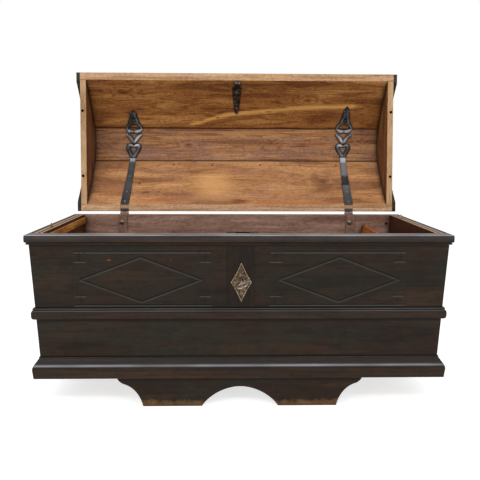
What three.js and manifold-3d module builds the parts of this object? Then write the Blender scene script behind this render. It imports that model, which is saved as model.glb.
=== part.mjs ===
// A coffer chest with a three-plank vaulted lid, standing open with its key in the lock.
// Millimetres, Z up. X runs along the front and Y from the front to the back.
// The front and the two ends lean outwards from the feet to the rim. The back is upright.
import * as THREE from "three";
import { mergeVertices } from "three/addons/utils/BufferGeometryUtils.js";
import Module from "manifold-3d";

const wasm = await Module();
wasm.setup();

// The case
const chestWidth = 1600; // over the top moulding
const half = chestWidth / 2;
const rimHeight = 684;
const footHeight = 122;
const caseDepth = 680; // from the front face at the rim to the back face
const wallLean = 19; // how far the front and the ends come in from the rim to the feet
const frontThick = 36;
const backThick = 32;
const endThick = 40;
const bottomThick = 28;
const boardDrop = 304; // from the rim down to the joint between the upper and the lower boards
const boardJoint = rimHeight - boardDrop;
const bottomBoards = 3;
const fitGap = 0.3; // between pieces that touch
const overrun = 5; // how far a cutting shape runs past what it cuts
const weldDistance = 0.0005;
const sides = [
  ["left", -1],
  ["right", 1],
];

// The dovetails at the four corners, cut on the end boards
const tailPitch = 98;
const tailLap = 12; // wood left in front of the tails, so the front face stays whole
const tailMiddleShare = 0.5;
const tailRootShare = 0.42;
const tailTipShare = 0.6;

// The mouldings, each let down from its own top
const topProud = 12;
const rimHalf = half - topProud; // from the middle to the end walls' outer faces at the rim
const roomHalf = rimHalf - endThick; // and to their inner faces
const topEdgeRound = 5;
const topBand = 24;
const topQuirkDepth = 2.5;
const topQuirkWidth = 2.5;
const topBead = 5.5;
const topBeadSink = 0.5;
const midDrop = 278; // from the rim down to the middle moulding
const midTop = rimHeight - midDrop;
const midFillet = 8;
const midFilletProud = 4;
const midBand = 41;
const midProud = 13;
const midUpperRound = 9;
const midLowerRound = 12;
const plinthTop = 204;
const plinthFillet = 5;
const plinthFilletProud = 4;
const plinthSlope = 31;
const plinthSetback = 1.6;
const plinthShoulderShare = 0.32;
const plinthBendShare = 0.15;

// The feet and the rails that tie them
const footThick = 34;
const footSetback = 24;
const backFootInset = 18;
const footTopHalf = 482;
const footPadOuter = 380;
const footPadInner = 150;
const footArch = 81;
const footShoulderShares = [0.75, 0.76];
const footUpperShares = [0.95, 0.85];
const footLowerShares = [0.18, 0.62];
const archLowShares = [0.8, 0.57];
const archHighShares = [0.38, 1];
const railWide = 45;
const railHigh = 60;
const railPlace = 400;

// The carved panels on the upper front board, each drop measured down from the rim
const panelCentre = 368;
const panelHalf = 260;
const panelLowDrop = 271;
const panelHighDrop = 67;
const panelLow = rimHeight - panelLowDrop;
const panelHigh = rimHeight - panelHighDrop;
const grooveWide = 6;
const grooveDeep = 3;
const lozengeHalf = 222;
const lozengeRise = 86;
const lozengeDrop = 173;
const lozengeCentre = rimHeight - lozengeDrop;
const cornerWide = 44;
const cornerHigh = 36;
const rosetteShare = 0.5;

// The centre stile, the lock plate, the lock and the key
const stileCentre = 4.5;
const stileWide = 89;
const stileProud = 5;
const lockPlace = 3; // how far right of the middle the key stands
const keyDrop = 172; // from the rim down to the key
const keyHeight = rimHeight - keyDrop;
const plateHalf = 40;
const plateBelow = 88.5; // how far the lock plate reaches below the key, and above it
const plateAbove = 68.5;
const plateLow = keyHeight - plateBelow;
const plateHigh = keyHeight + plateAbove;
const plateThick = 1.6;
const plateRim = 4.5;
const plateRimRise = 1.6;
const plateWaist = 3;
const plateSteepShare = 2; // how much further its border reaches at the points than across
const plateNailInset = 9;
const keyholeRadius = 7.5;
const keyholeSlot = 7;
const keyholeDrop = 16;
const lockCaseLeft = 55;
const lockCaseRight = 71;
const lockCaseBelow = 38; // from the key down to the foot of the lock case
const lockCaseLow = keyHeight - lockCaseBelow;
const lockCaseDeep = 47;
const lockCaseThick = 3;
const lockCaseTopSink = 1;
const lockSlotLeft = 18;
const lockSlotRight = 35;
const lockSlotNearPlay = 5; // the slot's play in front of the staple, and behind it
const lockSlotFarPlay = 7;
const shankRadius = 4.5;
const shankFront = -47; // where the shank meets the bow, from the front plane of the chest
const bowLong = 43;
const bowWide = 46;
const bowBar = 8;
const bowThick = 6;
const bowBevel = 1.5;
const collarRadius = 7;
const collarLong = 5;
const bitReach = 14;
const bitLong = 13;
const bitThick = 5;
const bitSlot = 3;
const bitSlotDeep = 5;
const pilotRadius = 2.6;
const keyTilt = THREE.MathUtils.degToRad(20);
const boltNoseHigh = 10;
const boltNoseThick = 8;
const boltPlateThick = 6;
const boltLeft = 39;
const boltTip = 16.5;
const boltArmWide = 4.8;
const boltPlateRight = 14;
const boltFootRight = 12;
const boltFootHigh = 22;
const boltKeyClearance = 1.5;
const boltEyeClearance = 2;

// The inside: the hand rail on the left wall and the till on the right, let down from the rim
const railDrop = 12;
const railDeep = 27;
const railTop = rimHeight - railDrop;
const railLow = railTop - railDeep;
const railThick = 12;
const tillDrop = 51;
const tillDeep = 133;
const tillTop = rimHeight - tillDrop;
const tillLow = tillTop - tillDeep;
const tillThick = 12;
const tillFrontDrop = 5;
const tillWide = 132; // from the right wall to the far face of the till's side
const tillPlace = roomHalf - tillWide;
const tillLean = 18.7;
const pivotInset = 18;
const pivotPlace = roomHalf - pivotInset;
const pivotDrop = 43;
const pivotHeight = rimHeight - pivotDrop;
const pivotRadius = 7.5;
const pivotDeep = 12;
const pegInset = 30; // from the end wall's outer face
const pegPlace = rimHalf - pegInset;
const pegRadius = 4;
const pegRise = 19;
const pegDeep = 22;
const pegHoleRadius = 7;
const pegHoleDeep = 26;
const pegNear = 490; // both peg places, from the back edge
const pegFar = 173;

// The lid, in its own measures: along its depth from the back edge, and up from its seat
const lidSetback = 5; // from the front wall's face back to the lid's front edge
const lidDepth = caseDepth - lidSetback;
const lidSideSetback = 2; // from an end wall's face in to the lid's end
const lidHalf = rimHalf - lidSideSetback;
const seatGap = 0.4;
const lipWide = 35;
const lipHigh = 11;
const shoulderBack = 266;
const frontPlankDeep = 241;
const shoulderFront = lidDepth - frontPlankDeep;
const innerShoulder = 174;
const outerShoulder = 205;
const innerCrown = 16;
const outerCrown = 14;
const sideBow = 9;
const facetSteps = 6;
const lidEndThick = 27.7;
const lidOverhang = 17.5; // how far the planks run past the end boards
const lidEndOuter = lidHalf - lidOverhang;
const overhangDrop = 10;
const openAngle = THREE.MathUtils.degToRad(96.7);

// The hinges
const hingeBehind = 11.2; // axis behind the back face
const hingeAbove = 0.9; // axis above the rim
const knuckleRadius = 8;
const pinRadius = 4;
const pinLong = 40;
const leafWide = 40;
const leafThick = 4;
const leafDrop = 124;
const middleKnuckle = 15.4;
const leafReach = 2.5; // how far leaf and strap run past the back face
const hingeInsets = { left: 231, right: 236 }; // from the end walls' outer faces at the rim
const hingePlaces = { left: hingeInsets.left - rimHalf, right: rimHalf - hingeInsets.right };
const boltHeadShift = 5;
const boltHeadRadius = 12.5;
const boltHeadRise = 9;
const boltHeadDrop = 36;
const boltShankRadius = 4;
const boltDomeShare = 0.85;
const boltCrownShare = 0.92;
const strapThick = 4;
const strapBase = 39;
const strapNeck = 26;
const strapSlants = { left: 0.055, right: 0.02 };
const neckRunShare = 0.45; // how far the plain strap runs on under the ornament
const ornamentStarts = { left: 275, right: 281 };
const ornamentInsets = { left: 160, right: 138 }; // from the lid's front edge to the leaf's point
const ornamentHalf = 41;
const strapNails = [48, 97, 179];
const nailShank = 2;
const nailLong = 20;
const nailHead = 3.6;
const nailHeadRise = 1.8;
const nailCrownShare = 0.7;

// Where each motif of a strap starts and how long it is, in shares of the ornament's length
const heartSpanShares = [0.03, 0.34];
const heartHoleShares = [0.13, 0.19];
const hornSpanShares = [0.31, 0.31];
const hornHoleShares = [0.47, 0.08];
const leafSpanShares = [0.58, 0.42];
const leafHoleShares = [0.67, 0.09];
const leafSlitShares = [0.79, 0.1];
const holeWidthShare = 0.52;
const hornWidthShare = 1.05;
const leafWidthShare = 1.12;

// The right half of each motif, in shares of its half width and its length
const heartPointShares = [0, 0];
const heartLowShares = [0.3, 0.22];
const heartSideShares = [0.95, 0.4];
const heartWideShares = [1, 0.68];
const heartLobeShares = [1, 0.98];
const heartCrownShares = [0.35, 1.12];
const heartNotchShares = [0, 0.86];
const hornShares = [
  [0, 0],
  [0.28, 0.18],
  [0.54, 0.52],
  [1, 0.76],
  [0.96, 0.9],
  [0.5, 0.83],
  [0.3, 1],
];
const leafShares = [
  [0, 0],
  [0.62, 0],
  [0.95, 0.14],
  [1, 0.3],
  [0.78, 0.44],
  [0.4, 0.58],
  [0.3, 0.74],
  [0.2, 0.84],
  [0, 1],
];
const hornHoleHalfShares = [
  [0, 0],
  [0.24, 1],
];
const leafHoleHalfShares = [
  [0.56, 0],
  [0.34, 1],
];
const leafSlitHalfShares = [
  [0.2, 0],
  [0, 1],
];

// The catch plate and its staple on the front plank, each inset measured from the lid's front edge
const catchPlace = -4;
const catchLowInset = 175;
const catchWaistInset = 151;
const catchHighInset = 63;
const catchNailInsets = [148, 83];
const catchLow = lidDepth - catchLowInset;
const catchWaist = lidDepth - catchWaistInset;
const catchHigh = lidDepth - catchHighInset;
const catchNails = catchNailInsets.map((inset) => lidDepth - inset);
const catchLowHalf = 9;
const catchWaistHalf = 14;
const catchHighHalf = 23;
const catchThick = 3;
const staplePlace = -1;
const stapleHalf = 14;
const stapleInset = 62;
const stapleLong = 18;
const stapleNear = lidDepth - stapleInset;
const stapleFar = stapleNear + stapleLong;
const stapleDrop = 28;
const stapleBar = 4;
const stapleEye = 14;

// Finishes
const finishes = {
  darkWood: { color: 0x3a2f2a, roughness: 0.55, metalness: 0 },
  brownWood: { color: 0x7a5636, roughness: 0.7, metalness: 0 },
  paleWood: { color: 0xb98a58, roughness: 0.75, metalness: 0 },
  tillWood: { color: 0x8a5222, roughness: 0.7, metalness: 0 },
  iron: { color: 0x6c7072, roughness: 0.5, metalness: 0.8 },
  blackIron: { color: 0x2b2c2e, roughness: 0.4, metalness: 0.8 },
  brass: { color: 0x9a8c6a, roughness: 0.45, metalness: 0.8 },
};

// Places that several pieces share
const backFace = topProud + caseDepth;
const hingeY = backFace + hingeBehind;
const hingeZ = rimHeight + hingeAbove;
const lidSeat = rimHeight + seatGap;
const arcSteps = 6;
const roundSteps = 20;
const smallSteps = 12;

const leanAt = (z) => (wallLean * (rimHeight - z)) / (rimHeight - footHeight);
const wallSet = (z) => topProud + leanAt(z); // wall face from the outermost plane, at height z
const lockCaseBack = wallSet(rimHeight) + frontThick + lockCaseDeep;
const lockPlateFace = lockCaseBack - lockCaseThick;

// Building blocks

function solidOf(geometry) {
  const bare = geometry.index ? geometry.toNonIndexed() : geometry.clone();
  bare.deleteAttribute("normal");
  bare.deleteAttribute("uv");
  const merged = mergeVertices(bare, weldDistance);
  return new wasm.Manifold(
    new wasm.Mesh({
      numProp: 3,
      vertProperties: merged.attributes.position.array,
      triVerts: new Uint32Array(merged.index.array),
    }),
  );
}

function geometryOf(solid) {
  const mesh = solid.getMesh();
  const geometry = new THREE.BufferGeometry();
  geometry.setAttribute("position", new THREE.BufferAttribute(mesh.vertProperties, 3));
  geometry.setIndex(new THREE.BufferAttribute(mesh.triVerts, 1));
  const faceted = geometry.toNonIndexed();
  faceted.computeVertexNormals();
  return faceted;
}

const joined = (...solids) => solids.reduce((whole, next) => whole.add(next));
const common = (...solids) => solids.reduce((whole, next) => whole.intersect(next));
const without = (solid, ...cuts) => cuts.reduce((left, cut) => left.subtract(cut), solid);

function outline(points) {
  return new THREE.Shape(points.map(([a, b]) => new THREE.Vector2(a, b)));
}

function extruded(shape, depth) {
  return new THREE.ExtrudeGeometry(shape, { depth, bevelEnabled: false, curveSegments: arcSteps });
}

const axisX = new THREE.Vector3(1, 0, 0);
const axisY = new THREE.Vector3(0, 1, 0);
const axisZ = new THREE.Vector3(0, 0, 1);
const frontOutward = axisY.clone().negate();

// A (y, z) outline run along X from one end to the other.
function alongX(shape, from, to) {
  const geometry = extruded(shape, to - from);
  geometry.applyMatrix4(new THREE.Matrix4().makeBasis(axisY, axisZ, axisX));
  return solidOf(geometry.translate(from, 0, 0));
}

// An (x, z) outline run along Y from one end to the other.
function alongY(shape, from, to) {
  const geometry = extruded(shape, to - from);
  geometry.applyMatrix4(new THREE.Matrix4().makeBasis(axisX, axisZ, axisY.clone().negate()));
  return solidOf(geometry.translate(0, to, 0));
}

// An (x, y) outline run up Z from one level to the other.
function alongZ(shape, from, to) {
  return solidOf(extruded(shape, to - from).translate(0, 0, from));
}

function box(x0, x1, y0, y1, z0, z1) {
  const plan = outline([
    [x0, y0],
    [x1, y0],
    [x1, y1],
    [x0, y1],
  ]);
  return alongZ(plan, z0, z1);
}

function disc(x, y, radius) {
  const shape = new THREE.Shape();
  shape.absarc(x, y, radius, 0, Math.PI * 2);
  return shape;
}

function ring(x, y, outer, inner) {
  const shape = disc(x, y, outer);
  shape.holes.push(disc(x, y, inner));
  return shape;
}

// A turned piece standing on its origin along +Y; the profile is a list of [radius, height].
function turned(profile, steps) {
  return new THREE.LatheGeometry(
    profile.map(([radius, height]) => new THREE.Vector2(radius, height)),
    steps,
  );
}

function rod(radius, length, steps) {
  return turned(
    [
      [0, 0],
      [radius, 0],
      [radius, length],
      [0, length],
    ],
    steps,
  );
}

// A geometry turned from +Y to a direction and moved to a point.
function aimed(geometry, point, direction) {
  const turn = new THREE.Quaternion().setFromUnitVectors(axisY, direction);
  return geometry.applyQuaternion(turn).translate(point.x, point.y, point.z);
}

function place(group, name, shape, finish) {
  const geometry = shape.isBufferGeometry ? shape : geometryOf(shape);
  const mesh = new THREE.Mesh(geometry, new THREE.MeshStandardMaterial(finishes[finish]));
  mesh.name = name;
  group.add(mesh);
  return mesh;
}

// The walls

// The (y, z) outline between two depths behind the leaning front face.
function frontSlab(low, high, near, far) {
  return outline([
    [wallSet(low) + near, low],
    [wallSet(low) + far, low],
    [wallSet(high) + far, high],
    [wallSet(high) + near, high],
  ]);
}

// The (x, z) outline between two depths inside the leaning end face; side is -1 or 1.
function endSlab(side, low, high, near, far) {
  return outline([
    [side * (half - wallSet(low) - near), low],
    [side * (half - wallSet(low) - far), low],
    [side * (half - wallSet(high) - far), high],
    [side * (half - wallSet(high) - near), high],
  ]);
}

// Everything inside the walls between two heights, with a gap to each wall.
function roomBlock(low, high, gap) {
  const inFront = (z) => wallSet(z) + frontThick + gap;
  const across = (z) => half - wallSet(z) - endThick - gap;
  const behind = backFace - backThick - gap;
  const sideView = outline([
    [inFront(low), low],
    [behind, low],
    [behind, high],
    [inFront(high), high],
  ]);
  const frontView = outline([
    [-across(low), low],
    [across(low), low],
    [across(high), high],
    [-across(high), high],
  ]);
  return common(alongX(sideView, -half, half), alongY(frontView, 0, backFace));
}

function tailSpans(low, high) {
  const count = Math.round((high - low) / tailPitch);
  const pitch = (high - low) / count;
  return Array.from({ length: count }, (_, i) => ({
    middle: low + pitch * (i + tailMiddleShare),
    root: (pitch * tailRootShare) / 2,
    tip: (pitch * tailTipShare) / 2,
  }));
}

// The socket of one tail seen from the end of the chest, a gap wider than the tail.
function socketOutline({ middle, root, tip }, rootAt, tipAt, past) {
  const rootLow = middle - root - fitGap;
  const tipLow = middle - tip - fitGap;
  const tipHigh = middle + tip + fitGap;
  const rootHigh = middle + root + fitGap;
  return outline([
    [rootAt(rootLow) + past, rootLow],
    [rootAt(rootLow), rootLow],
    [tipAt(tipLow), tipLow],
    [tipAt(tipHigh), tipHigh],
    [rootAt(rootHigh), rootHigh],
    [rootAt(rootHigh) + past, rootHigh],
  ]);
}

function frontSockets(low, high) {
  const rootAt = (z) => wallSet(z) + frontThick + fitGap;
  const tipAt = (z) => wallSet(z) + tailLap;
  return cornerSockets(low, high, rootAt, tipAt, overrun);
}

function backSockets(low, high) {
  const rootAt = () => backFace - backThick - fitGap;
  const tipAt = () => backFace;
  return cornerSockets(low, high, rootAt, tipAt, -overrun);
}

function cornerSockets(low, high, rootAt, tipAt, past) {
  const tails = tailSpans(low, high).map((span) =>
    alongX(socketOutline(span, rootAt, tipAt, past), -half, half),
  );
  const ends = sides.map(([, side]) => {
    const slab = endSlab(side, low - overrun, high + overrun, -overrun, endThick + fitGap);
    return alongY(slab, 0, backFace + overrun);
  });
  return common(joined(...tails), joined(...ends));
}

// The case seen from the front, between two heights.
function frontView(low, high) {
  return outline([
    [wallSet(low) - half, low],
    [half - wallSet(low), low],
    [half - wallSet(high), high],
    [wallSet(high) - half, high],
  ]);
}

function frontBoard(low, high) {
  const board = alongX(frontSlab(low, high, 0, frontThick), -half, half);
  const trimmed = common(board, alongY(frontView(low, high), 0, backFace));
  return without(trimmed, frontSockets(low, high));
}

function backBoard(low, high) {
  const board = alongY(frontView(low, high), backFace - backThick, backFace);
  return without(board, backSockets(low, high));
}

// An end board seen from the side: a plain board with tails on its front and back edges.
function endBoard(side, low, high) {
  const frontRoot = (z) => wallSet(z) + frontThick + fitGap;
  const frontTip = (z) => wallSet(z) + tailLap + fitGap;
  const backRoot = backFace - backThick - fitGap;
  const spans = tailSpans(low, high);
  const frontEdge = spans.flatMap(({ middle, root, tip }) => [
    [frontRoot(middle - root), middle - root],
    [frontTip(middle - tip), middle - tip],
    [frontTip(middle + tip), middle + tip],
    [frontRoot(middle + root), middle + root],
  ]);
  const backEdge = spans.toReversed().flatMap(({ middle, root, tip }) => [
    [backRoot, middle + root],
    [backFace, middle + tip],
    [backFace, middle - tip],
    [backRoot, middle - root],
  ]);
  const sideView = outline([
    [frontRoot(low), low],
    ...frontEdge,
    [frontRoot(high), high],
    [backRoot, high],
    ...backEdge,
    [backRoot, low],
  ]);
  const slab = alongY(endSlab(side, low, high, 0, endThick), 0, backFace);
  return common(slab, alongX(sideView, -half, half));
}

// A cut into the front face: an (x, z) outline sunk to a depth.
function faceCut(shape, low, high, depth) {
  const sheet = alongX(frontSlab(low - overrun, high + overrun, -overrun, depth), -half, half);
  return common(alongY(shape, 0, backFace), sheet);
}

// A closed line of one width: the outline of the outer points with the inner ones as its hole.
function band(outer, inner) {
  const shape = outline(outer);
  shape.holes.push(outline(inner));
  return shape;
}

function rectangle(x, z, halfWide, halfHigh) {
  return [
    [x - halfWide, z - halfHigh],
    [x + halfWide, z - halfHigh],
    [x + halfWide, z + halfHigh],
    [x - halfWide, z + halfHigh],
  ];
}

function lozenge(x, z, halfWide, halfHigh) {
  return [
    [x - halfWide, z],
    [x, z - halfHigh],
    [x + halfWide, z],
    [x, z + halfHigh],
  ];
}

// One carved panel: a frame line, a lozenge line, and a square with a sunk rosette in each corner.
function panelCuts(centre) {
  const middle = (panelLow + panelHigh) / 2;
  const tall = (panelHigh - panelLow) / 2;
  const slant = Math.hypot(lozengeHalf, lozengeRise) / lozengeRise;
  const frame = band(
    rectangle(centre, middle, panelHalf, tall),
    rectangle(centre, middle, panelHalf - grooveWide, tall - grooveWide),
  );
  const shrink = 1 - (grooveWide * slant) / lozengeHalf;
  const diamond = band(
    lozenge(centre, lozengeCentre, lozengeHalf, lozengeRise),
    lozenge(centre, lozengeCentre, lozengeHalf * shrink, lozengeRise * shrink),
  );
  const cuts = [frame, diamond];
  for (const across of [-1, 1]) {
    for (const up of [-1, 1]) {
      cuts.push(...cornerCuts(centre, middle, tall, across, up));
    }
  }
  return cuts.map((shape) => faceCut(shape, panelLow, panelHigh, grooveDeep));
}

// The two inner lines of a corner square, which meet the frame line, and its rosette.
function cornerCuts(centre, middle, tall, across, up) {
  const outerX = centre + across * (panelHalf - grooveWide / 2);
  const outerZ = middle + up * (tall - grooveWide / 2);
  const innerX = outerX - across * cornerWide;
  const innerZ = outerZ - up * cornerHigh;
  const thin = grooveWide / 2;
  const upright = rectangle(innerX, (innerZ + outerZ) / 2, thin, cornerHigh / 2 + thin);
  const level = rectangle((innerX + outerX) / 2, innerZ, cornerWide / 2 + thin, thin);
  const rosette = lozenge(
    (innerX + outerX) / 2,
    (innerZ + outerZ) / 2,
    (cornerWide / 2) * rosetteShare,
    (cornerHigh / 2) * rosetteShare,
  );
  return [upright, level, rosette].map(outline);
}

// The keyhole seen from the front: a round hole with a slot below it.
function keyholeOutline() {
  const shape = new THREE.Shape();
  const turn = Math.asin(keyholeSlot / 2 / keyholeRadius);
  const start = -Math.PI / 2 + turn;
  shape.moveTo(lockPlace + keyholeSlot / 2, keyHeight - keyholeDrop);
  shape.absarc(lockPlace, keyHeight, keyholeRadius, start, start + Math.PI * 2 - turn * 2, false);
  shape.lineTo(lockPlace - keyholeSlot / 2, keyHeight - keyholeDrop);
  return shape;
}

function upperFrontBoard() {
  const cuts = [-panelCentre, panelCentre].flatMap(panelCuts);
  const board = frontBoard(boardJoint, rimHeight);
  const keyhole = alongY(keyholeOutline(), 0, backFace / 2);
  const inner = wallSet(pivotHeight) + frontThick;
  const pivot = alongY(disc(pivotPlace, pivotHeight, pivotRadius), inner - pivotDeep, inner + overrun);
  return without(board, joined(...cuts), keyhole, pivot);
}

function upperBackBoard() {
  const inner = backFace - backThick;
  const pivot = alongY(disc(pivotPlace, pivotHeight, pivotRadius), inner - overrun, inner + pivotDeep);
  const notches = Object.values(hingePlaces).flatMap((x) => [
    leafNotch(x),
    boltHole(x, inner - overrun),
  ]);
  return without(backBoard(boardJoint, rimHeight), pivot, ...notches);
}

function leafNotch(x) {
  const wide = leafWide / 2 + fitGap;
  const near = backFace - backThick - overrun;
  const low = rimHeight - leafThick - fitGap;
  return box(x - wide, x + wide, near, backFace + overrun, low, rimHeight + overrun);
}

function boltHole(x, from) {
  const centre = disc(x - boltHeadShift, rimHeight - boltHeadDrop, boltShankRadius + fitGap);
  return alongY(centre, from, backFace + overrun);
}

function upperEndBoard(side) {
  const y = backFace - (side < 0 ? pegNear : pegFar);
  const bore = disc(side * pegPlace, y, pegRadius + fitGap);
  const hole = alongZ(bore, rimHeight - pegDeep - fitGap, rimHeight + overrun);
  return without(endBoard(side, boardJoint, rimHeight), hole);
}

function buildWalls(group) {
  place(group, "front_board_upper", upperFrontBoard(), "darkWood");
  place(group, "front_board_lower", frontBoard(footHeight, boardJoint), "darkWood");
  place(group, "back_board_upper", upperBackBoard(), "brownWood");
  place(group, "back_board_lower", backBoard(footHeight, boardJoint), "brownWood");
  for (const [label, side] of sides) {
    place(group, `end_board_${label}_upper`, upperEndBoard(side), "darkWood");
    place(group, `end_board_${label}_lower`, endBoard(side, footHeight, boardJoint), "darkWood");
  }
}

function buildBottom(group) {
  const front = wallSet(footHeight) + frontThick;
  const wide = (backFace - backThick - front) / bottomBoards;
  const floor = roomBlock(footHeight, footHeight + bottomThick, fitGap);
  for (let i = 0; i < bottomBoards; i += 1) {
    const from = front + wide * i + fitGap / 2;
    const strip = box(-half, half, from, from + wide - fitGap, 0, rimHeight);
    place(group, `bottom_board_${i + 1}`, common(floor, strip), "brownWood");
  }
}

// The mouldings

// Each profile is a path of (set, z): how far in from the outermost plane, and the height.
function topProfile() {
  const path = new THREE.Path();
  const bandFoot = rimHeight - topBand;
  const beadTop = bandFoot - topQuirkWidth;
  const low = beadTop - topBead * 2;
  path.moveTo(wallSet(low) - fitGap, low);
  path.lineTo(wallSet(rimHeight) - fitGap, rimHeight);
  path.lineTo(topEdgeRound, rimHeight);
  path.absarc(topEdgeRound, rimHeight - topEdgeRound, topEdgeRound, Math.PI / 2, Math.PI, false);
  path.lineTo(0, bandFoot);
  path.lineTo(topQuirkDepth, bandFoot);
  path.lineTo(topQuirkDepth, beadTop);
  path.absarc(topBead + topBeadSink, beadTop - topBead, topBead, Math.PI / 2, Math.PI * 1.5, false);
  return path;
}

function midProfile() {
  const path = new THREE.Path();
  const bandTop = midTop - midFillet;
  const low = bandTop - midBand;
  const face = wallSet(bandTop - midBand / 2) - midProud;
  path.moveTo(wallSet(low) - fitGap, low);
  path.lineTo(wallSet(midTop) - fitGap, midTop);
  path.lineTo(wallSet(midTop) - midFilletProud, midTop);
  path.lineTo(wallSet(bandTop) - midFilletProud, bandTop);
  path.lineTo(face + midUpperRound, bandTop);
  path.absarc(face + midUpperRound, bandTop - midUpperRound, midUpperRound, Math.PI / 2, Math.PI, false);
  path.lineTo(face, low + midLowerRound);
  path.absarc(face + midLowerRound, low + midLowerRound, midLowerRound, Math.PI, Math.PI * 1.5, false);
  return path;
}

function plinthProfile() {
  const path = new THREE.Path();
  const slopeTop = plinthTop - plinthFillet;
  const slopeFoot = slopeTop - plinthSlope;
  const shoulder = wallSet(plinthTop) - plinthFilletProud;
  path.moveTo(wallSet(footHeight) - fitGap, footHeight);
  path.lineTo(wallSet(plinthTop) - fitGap, plinthTop);
  path.lineTo(shoulder, plinthTop);
  path.lineTo(shoulder, slopeTop);
  path.quadraticCurveTo(
    plinthSetback + (shoulder - plinthSetback) * plinthBendShare,
    slopeFoot + plinthSlope * plinthShoulderShare,
    plinthSetback,
    slopeFoot,
  );
  path.lineTo(plinthSetback, footHeight);
  return path;
}

// The plan triangle whose slanting edges are the two front mitres, moved in by a gap.
function mitreBlock(gap) {
  const reach = half - gap + overrun;
  const plan = outline([
    [-reach, -overrun],
    [reach, -overrun],
    [0, half - gap],
  ]);
  return alongZ(plan, 0, rimHeight + overrun);
}

function buildMoulding(group, name, profile) {
  const points = profile.getPoints(arcSteps).map(({ x, y }) => [x, y]);
  const front = common(alongX(outline(points), -half, half), mitreBlock(fitGap / 2));
  place(group, `${name}_front`, front, "darkWood");
  for (const [label, side] of sides) {
    const turnedPoints = points.map(([set, z]) => [side * (half - set), z]);
    const run = alongY(outline(turnedPoints), 0, backFace);
    place(group, `${name}_${label}`, without(run, mitreBlock(-fitGap / 2)), "darkWood");
  }
}

function buildMouldings(group) {
  buildMoulding(group, "top_moulding", topProfile());
  buildMoulding(group, "mid_moulding", midProfile());
  buildMoulding(group, "plinth", plinthProfile());
}

// The feet

// One shaped foot board seen from the front: ogee ends, two pads and the arch between them.
function footOutline() {
  const reach = footTopHalf - footPadOuter;
  const ogee = (side, [x, z]) => [side * (footPadOuter + reach * x), footHeight * z];
  const arch = (side, [x, z]) => [side * footPadInner * x, footArch * z];
  const shape = new THREE.Shape();
  shape.moveTo(-footTopHalf, footHeight);
  shape.quadraticCurveTo(...ogee(-1, footUpperShares), ...ogee(-1, footShoulderShares));
  shape.quadraticCurveTo(...ogee(-1, footLowerShares), -footPadOuter, 0);
  shape.lineTo(-footPadInner, 0);
  shape.bezierCurveTo(...arch(-1, archLowShares), ...arch(-1, archHighShares), 0, footArch);
  shape.bezierCurveTo(...arch(1, archHighShares), ...arch(1, archLowShares), footPadInner, 0);
  shape.lineTo(footPadOuter, 0);
  shape.quadraticCurveTo(...ogee(1, footLowerShares), ...ogee(1, footShoulderShares));
  shape.quadraticCurveTo(...ogee(1, footUpperShares), footTopHalf, footHeight);
  return shape;
}

function buildFeet(group) {
  const backOfFront = footSetback + footThick;
  const frontOfBack = backFace - backFootInset - footThick;
  place(group, "foot_front", alongY(footOutline(), footSetback, backOfFront), "darkWood");
  place(group, "foot_back", alongY(footOutline(), frontOfBack, frontOfBack + footThick), "darkWood");
  for (const [label, side] of sides) {
    const x = side * railPlace;
    const from = backOfFront + fitGap;
    const to = frontOfBack - fitGap;
    const rail = box(x - railWide / 2, x + railWide / 2, from, to, footHeight - railHigh, footHeight);
    place(group, `foot_rail_${label}`, rail, "brownWood");
  }
}

// The stile and the lock plate on the front

function onFace(shape, low, high, near, far) {
  return common(alongY(shape, -half, half), alongX(frontSlab(low, high, -far, -near), -half, half));
}

function buildStile(group) {
  const low = midTop + fitGap;
  const high = rimHeight - topBand - topQuirkWidth - topBead * 2 - fitGap;
  const shape = outline(rectangle(stileCentre, (low + high) / 2, stileWide / 2, (high - low) / 2));
  const stile = onFace(shape, low, high, fitGap, stileProud);
  const nails = plateNailFaces().map(([, face]) => nailHole(face, frontOutward, stileProud + fitGap));
  const keyhole = alongY(keyholeOutline(), 0, frontThick);
  place(group, "centre_stile", without(stile, keyhole, ...nails), "darkWood");
}

// The lock plate's outline: a tall lozenge with hollowed sides.
function platePoints(shrink) {
  const middle = (plateLow + plateHigh) / 2;
  const wide = plateHalf - shrink;
  const tall = (plateHigh - plateLow) / 2 - shrink * plateSteepShare;
  const corners = lozenge(lockPlace, middle, wide, tall);
  return corners.flatMap(([x, z], i) => {
    const [nextX, nextZ] = corners[(i + 1) % corners.length];
    const middleX = (x + nextX) / 2;
    const middleZ = (z + nextZ) / 2;
    const inward = new THREE.Vector2(lockPlace - middleX, middle - middleZ).setLength(plateWaist);
    return [
      [x, z],
      [middleX + inward.x, middleZ + inward.y],
    ];
  });
}

// The outer face of the lock plate at each of its two nails.
function plateNailFaces() {
  const sink = plateNailInset * plateSteepShare;
  const heights = [
    ["top", plateHigh - sink],
    ["bottom", plateLow + sink],
  ];
  const faceAt = (z) => wallSet(z) - stileProud - fitGap - plateThick;
  return heights.map(([label, z]) => [label, new THREE.Vector3(lockPlace, faceAt(z), z)]);
}

function buildPlate(group) {
  const near = stileProud + fitGap;
  const sheet = onFace(outline(platePoints(0)), plateLow, plateHigh, near, near + plateThick);
  const border = band(platePoints(0), platePoints(plateRim));
  const rim = onFace(border, plateLow, plateHigh, near, near + plateThick + plateRimRise);
  const holes = [alongY(keyholeOutline(), -half, half)];
  for (const [label, face] of plateNailFaces()) {
    place(group, `lock_plate_nail_${label}`, nailAt(face, frontOutward, stileProud), "iron");
    holes.push(nailHole(face, frontOutward, plateThick * 2));
  }
  place(group, "lock_plate", without(joined(sheet, rim), ...holes), "brass");
}

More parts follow.
